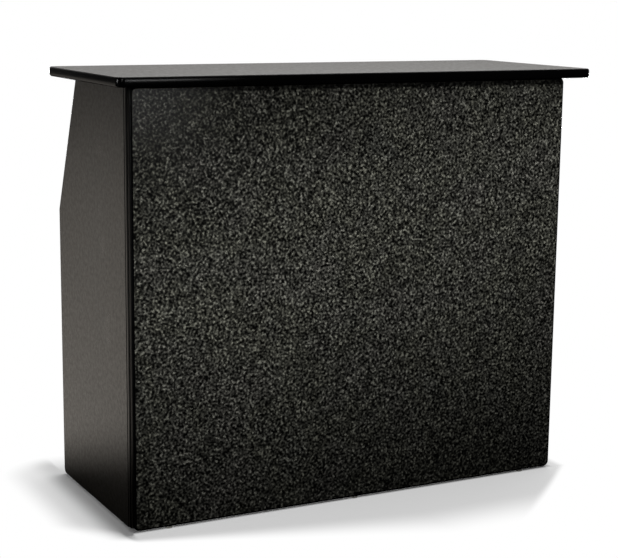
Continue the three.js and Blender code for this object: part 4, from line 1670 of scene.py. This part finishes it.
@dataclass
class Lamp:
    """Rectangular soft lamp."""

    name: str
    place: Place
    target: Place
    size: Span
    power: float
    spread: float = 180.0
    tilt: float = 0.0
    spares: Optional[bpy.types.Object] = None

    def build(self) -> None:
        """Adds the lamp to the scene, with its light kept off what it spares."""
        data = bpy.data.lights.new(self.name, "AREA")
        data.shape = "RECTANGLE"
        data.size, data.size_y = self.size
        data.energy = self.power
        data.spread = math.radians(self.spread)
        lamp = bpy.data.objects.new(self.name, data)
        aim = (Vector(self.target) - Vector(self.place)).to_track_quat("-Z", "Y").to_matrix().to_4x4()
        tilt = Matrix.Rotation(math.radians(self.tilt), 4, "Z")
        lamp.matrix_world = Matrix.Translation(self.place) @ aim @ tilt
        bpy.context.scene.collection.objects.link(lamp)
        if self.spares:
            unlit = bpy.data.collections.new(f"{self.name}_unlit")
            unlit.objects.link(self.spares)
            unlit.collection_objects[0].light_linking.link_state = "EXCLUDE"
            lamp.light_linking.receiver_collection = unlit


@dataclass(frozen=True)
class Spans:
    """Where a point of the floor lies: its x and y, and how far it is off each side of the footprint."""

    x: Value
    y: Value
    left: Value
    right: Value
    ahead: Value
    behind: Value


@dataclass
class Studio:
    """White studio: camera, lamps, floor and surroundings.

    A span is where a soft step starts and ends, or the least and the most of a size.
    """

    focal_pixels: float = 1534.8
    yaw: float = 27.531
    pitch: float = 10.783
    roll: float = 0.608
    eye: Place = (-1.8165, -3.4451, 1.2646)
    floor_half: float = 9.0
    paper: float = 0.86
    paper_glow: float = 0.52
    bounce: float = 0.26
    left_open: Span = (0.0, 0.01)
    right_open: Span = (0.0, 0.02)
    front_open: Span = (0.0, 0.015)
    front_gap: float = 0.014
    rear_open: Span = (0.0, 0.1)
    rear_light: Span = (-0.15, 0.45)
    side_shade: Span = (0.006, 0.08)
    side_gloom: Span = (0.03, 0.22)
    shadow_left: float = 0.145
    shadow_right: float = 0.05
    shadow_ahead: Span = (0.05, 0.285)
    shadow_middle: float = 0.253
    shadow_slope: float = 0.333
    shadow_end: Span = (0.5, 1.15)
    corner_left: Span = (0.0, 0.03)
    corner_ahead: Span = (0.08, 0.26)
    corner_lift: float = 0.6
    pool: float = 0.65
    pool_tint: Colour = (1.0, 0.925, 0.83)
    pool_edge: Span = (0.20, 0.74)
    pool_turn: float = 19.4
    pool_half: float = 0.3
    pool_flare: float = 0.1
    pool_side: Span = (0.5, 1.4)
    pool_fall: float = 0.05
    fill: float = 0.18
    dark_room: float = 0.015
    pale_room: float = 0.04
    rear_room: Span = (-0.2, 0.6)
    backdrop_tint: Colour = (1.0, 0.985, 0.955)
    backdrop_rise: float = 0.15
    backdrop_edge: Span = (0.80, 0.95)

    def build(self) -> None:
        """Sets up the whole studio."""
        bpy.context.scene.view_settings.view_transform = "Standard"
        self.camera()
        floor = self.floor()
        self.surroundings()
        for lamp in self.lamps(floor):
            lamp.build()

    def camera(self) -> None:
        """Camera at the photograph's viewing angle."""
        data = bpy.data.cameras.new("camera")
        data.sensor_fit = "HORIZONTAL"
        data.sensor_width = SENSOR_WIDTH
        data.lens = self.focal_pixels * SENSOR_WIDTH / IMAGE_WIDTH
        camera = bpy.data.objects.new("camera", data)
        turn = (
            Matrix.Rotation(-math.radians(self.yaw), 4, "Z")
            @ Matrix.Rotation(QUARTER - math.radians(self.pitch), 4, "X")
            @ Matrix.Rotation(math.radians(self.roll), 4, "Z")
        )
        camera.matrix_world = Matrix.Translation(self.eye) @ turn
        bpy.context.scene.collection.objects.link(camera)
        bpy.context.scene.camera = camera

    @staticmethod
    def lamps(floor: bpy.types.Object) -> list[Lamp]:
        """Overhead soft lamp, spots on the front and the left side, a sheen card and two fills.

        Args:
            floor: The floor, which the two fills leave unlit so that the shadow stays.

        Returns:
            The lamps, not yet built.
        """
        return [
            Lamp("overhead", (0.7, 0.85, 3.2), (0.7, 0.85, 0.0), (2.8, 2.4), 79.0),
            Lamp("front_spot", (-1.6, -3.2, 2.0), (0.11, -0.23, 0.69), (1.8, 0.2), 2.95, 18.0, 25.0),
            Lamp("side_spot", (-3.2, 0.4, 1.2), (-0.59, 0.03, 0.85), (0.5, 0.4), 0.9, 24.0),
            Lamp("sheen_card", (0.32, -3.2, 1.42), (-0.70, -0.28, 1.08), (0.5, 0.35), 0.05, 8.0),
            Lamp("inside_fill", (0.55, 3.4, 0.72), (0.1, -0.1, 0.55), (1.7, 0.5), 10.5, 50.0, spares=floor),
            Lamp("right_fill", (2.6, 2.4, 0.65), (0.6, 0.05, 0.55), (0.8, 0.5), 6.0, 40.0, spares=floor),
        ]

    @staticmethod
    def rays(graph: Graph) -> tuple[Value, Value]:
        """Whether a ray comes straight from the camera, and whether it comes from a mirroring surface."""
        seen = graph.add("ShaderNodeLightPath", out="Is Camera Ray")
        return seen, graph.largest(seen.also("Is Glossy Ray"), seen.also("Is Transmission Ray"))

    @staticmethod
    def spans(graph: Graph) -> Spans:
        """Measures where a point of the floor lies beside the bar's footprint.

        Args:
            graph: Tree of the floor's material.

        Returns:
            Its place and its distances, each at least zero. The right side slants away ahead of the bar.
        """
        low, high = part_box("front_edging")[0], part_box("right_side_edging")[1]
        x, y, _ = graph.split(graph.add("ShaderNodeTexCoord", out="Object"))
        ahead = graph.largest(low[1] - y, 0.0)
        return Spans(
            x=x,
            y=y,
            left=graph.largest(low[0] - x, 0.0),
            right=graph.largest(x + ahead - high[0], 0.0),
            ahead=ahead,
            behind=graph.largest(y - high[1], 0.0),
        )

    def shadow_fade(self, graph: Graph, spans: Spans) -> Value:
        """How far the shadow has faded to white.

        Args:
            graph: Tree of the floor's material.
            spans: Where the point lies.

        Returns:
            Zero in the shadow and one outside it.
        """
        near, far = self.shadow_ahead
        reach = graph.largest(self.shadow_middle + spans.x * self.shadow_slope, near)
        corner = graph.smooth(spans.left, *self.corner_left) * self.corner_lift
        corner = corner * graph.smooth(-1.0 * spans.y, *self.corner_ahead)
        aside = spans.left / self.shadow_left + spans.right / self.shadow_right + corner
        astern = spans.behind / self.shadow_left
        fore = spans.ahead / graph.maths("MINIMUM", reach, far)
        away = graph.maths("SQRT", aside * aside + astern * astern + fore * fore)
        return graph.smooth(away, *self.shadow_end)

    def open_glow(self, graph: Graph, spans: Spans) -> Value:
        """White that the open floor adds to its shading, and the dark under the bar and beside it doesn't.

        Args:
            graph: Tree of the floor's material.
            spans: Where the point lies.

        Returns:
            Share of white.
        """
        front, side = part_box("front_edging")[0][1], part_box("right_side_edging")[1][0]
        gap = graph.maths("SQRT", spans.left * spans.left + spans.ahead * spans.ahead)
        beside = spans.left / (spans.left + spans.ahead + MM)
        shade = beside * (1.0 - graph.smooth(gap, *self.side_shade))
        inside = side - graph.maths("ABSOLUTE", spans.x)
        clear = graph.largest(
            graph.smooth(spans.left, *self.left_open),
            graph.smooth(spans.right, *self.right_open),
            graph.smooth(front + self.front_gap - spans.y, *self.front_open),
            graph.smooth(spans.y, *self.rear_light) * graph.smooth(inside, *self.side_gloom),
            graph.smooth(spans.behind, *self.rear_open),
        )
        return clear * (1.0 - shade) * self.paper_glow

    def pool_light(self, graph: Graph) -> Value:
        """Painted pool of light: a glow on the floor that only mirrored rays see, for the bar's faces to
        mirror, in a strip that widens away from the left side.

        Args:
            graph: Tree of the floor's material.

        Returns:
            The glowing shader.
        """
        strip = graph.add(
            "ShaderNodeMapping",
            {"vector_type": "TEXTURE"},
            {
                "Vector": graph.add("ShaderNodeTexCoord", out="Object"),
                "Location": (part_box("left_side_edging")[0][0], 0.0, 0.0),
                "Rotation": (0.0, 0.0, math.radians(self.pool_turn)),
            },
        )
        across, along, _ = graph.split(strip)
        offside = graph.maths("ABSOLUTE", across) / (self.pool_half + along * self.pool_flare)
        lit = graph.smooth(along, *self.pool_edge) * (1.0 - graph.smooth(offside, *self.pool_side))
        lit = lit / (1.0 + along * self.pool_fall)
        tint = graph.vector("SCALE", self.pool_tint, lit * self.pool)
        return graph.add("ShaderNodeEmission", inputs={"Color": tint, "Strength": 1.0})

    def floor_paper(self) -> bpy.types.Material:
        """Material of the floor: white for the camera away from the shadow, and the pool for reflections.

        Returns:
            The material.
        """
        made = bpy.data.materials.new("studio_floor")
        made.use_nodes = True
        made.node_tree.nodes.clear()
        made.cycles.emission_sampling = "NONE"
        graph = Graph(made.node_tree)
        seen, mirrored = self.rays(graph)
        spans = self.spans(graph)
        glow = self.open_glow(graph, spans)
        fade = glow + self.shadow_fade(graph, spans) * (1.0 - glow)
        grey = graph.blend(seen, (self.bounce,) * 3, (self.paper,) * 3)
        paper = graph.add("ShaderNodeBsdfDiffuse", inputs={"Color": grey})
        white = graph.add("ShaderNodeEmission", inputs={"Color": WHITE, "Strength": 1.0})
        mixed = graph.mix(mirrored, graph.mix(fade * seen, paper, white), self.pool_light(graph))
        graph.add("ShaderNodeOutputMaterial", inputs={"Surface": mixed})
        return made

    def floor(self) -> bpy.types.Object:
        """Pale floor that keeps the shadow near the bar and fades to plain white for the camera.

        Returns:
            The floor.
        """
        half = self.floor_half
        corners = [(x, y, 0.0) for x, y, _ in Shapes.rectangle((-half, -half), (half, half), 0.0)]
        mesh = bpy.data.meshes.new("floor")
        mesh.from_pydata(corners, [], [(0, 1, 2, 3)])
        mesh.materials.append(self.floor_paper())
        floor = bpy.data.objects.new("floor", mesh)
        bpy.context.scene.collection.objects.link(floor)
        return floor

    def surroundings(self) -> None:
        """White for the camera and for reflections of the backdrop, a soft grey room elsewhere."""
        world = bpy.data.worlds.new("studio")
        bpy.context.scene.world = world
        world.cycles.sampling_method = "NONE"
        world.use_nodes = True
        world.node_tree.nodes.clear()
        graph = Graph(world.node_tree)
        seen, mirrored = self.rays(graph)
        way = graph.add("ShaderNodeTexCoord", out="Generated")
        yaw = math.radians(self.yaw)
        ahead = (math.sin(yaw), math.cos(yaw), self.backdrop_rise)
        facing = graph.add("ShaderNodeVectorMath", {"operation": "DOT_PRODUCT"}, {0: way, 1: ahead}, "Value")
        rear = graph.smooth(graph.split(way)[1], *self.rear_room)
        room = self.dark_room + rear * (self.pale_room - self.dark_room)
        level = room + graph.smooth(facing, *self.backdrop_edge) * (1.0 - room)
        tint = graph.vector("SCALE", self.backdrop_tint, level)
        soft = graph.add("ShaderNodeBackground", inputs={"Color": WHITE, "Strength": self.fill})
        shown = graph.add("ShaderNodeBackground", inputs={"Color": tint, "Strength": 1.0})
        white = graph.add("ShaderNodeBackground", inputs={"Color": WHITE, "Strength": 1.0})
        mixed = graph.mix(seen, graph.mix(mirrored, soft, shown), white)
        graph.add("ShaderNodeOutputWorld", inputs={"Surface": mixed})


def main() -> None:
    """Builds the bar's pieces in order and sets up the studio."""
    logging.basicConfig(level=logging.INFO, format="%(name)s: %(message)s")
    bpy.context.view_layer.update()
    shop = Shop()
    assemblies = [
        FrontAssembly(shop, "front"),
        *(SideAssembly(shop, f"{hand.word}_side", hand) for hand in Hand),
        *(ShelfAssembly(shop, f"{tier.value}_shelf") for tier in Tier),
        CounterAssembly(shop, "counter"),
    ]
    for assembly in assemblies:
        assembly.build()
    shop.clear()
    Studio().build()


if __name__ == "__main__":
    main()
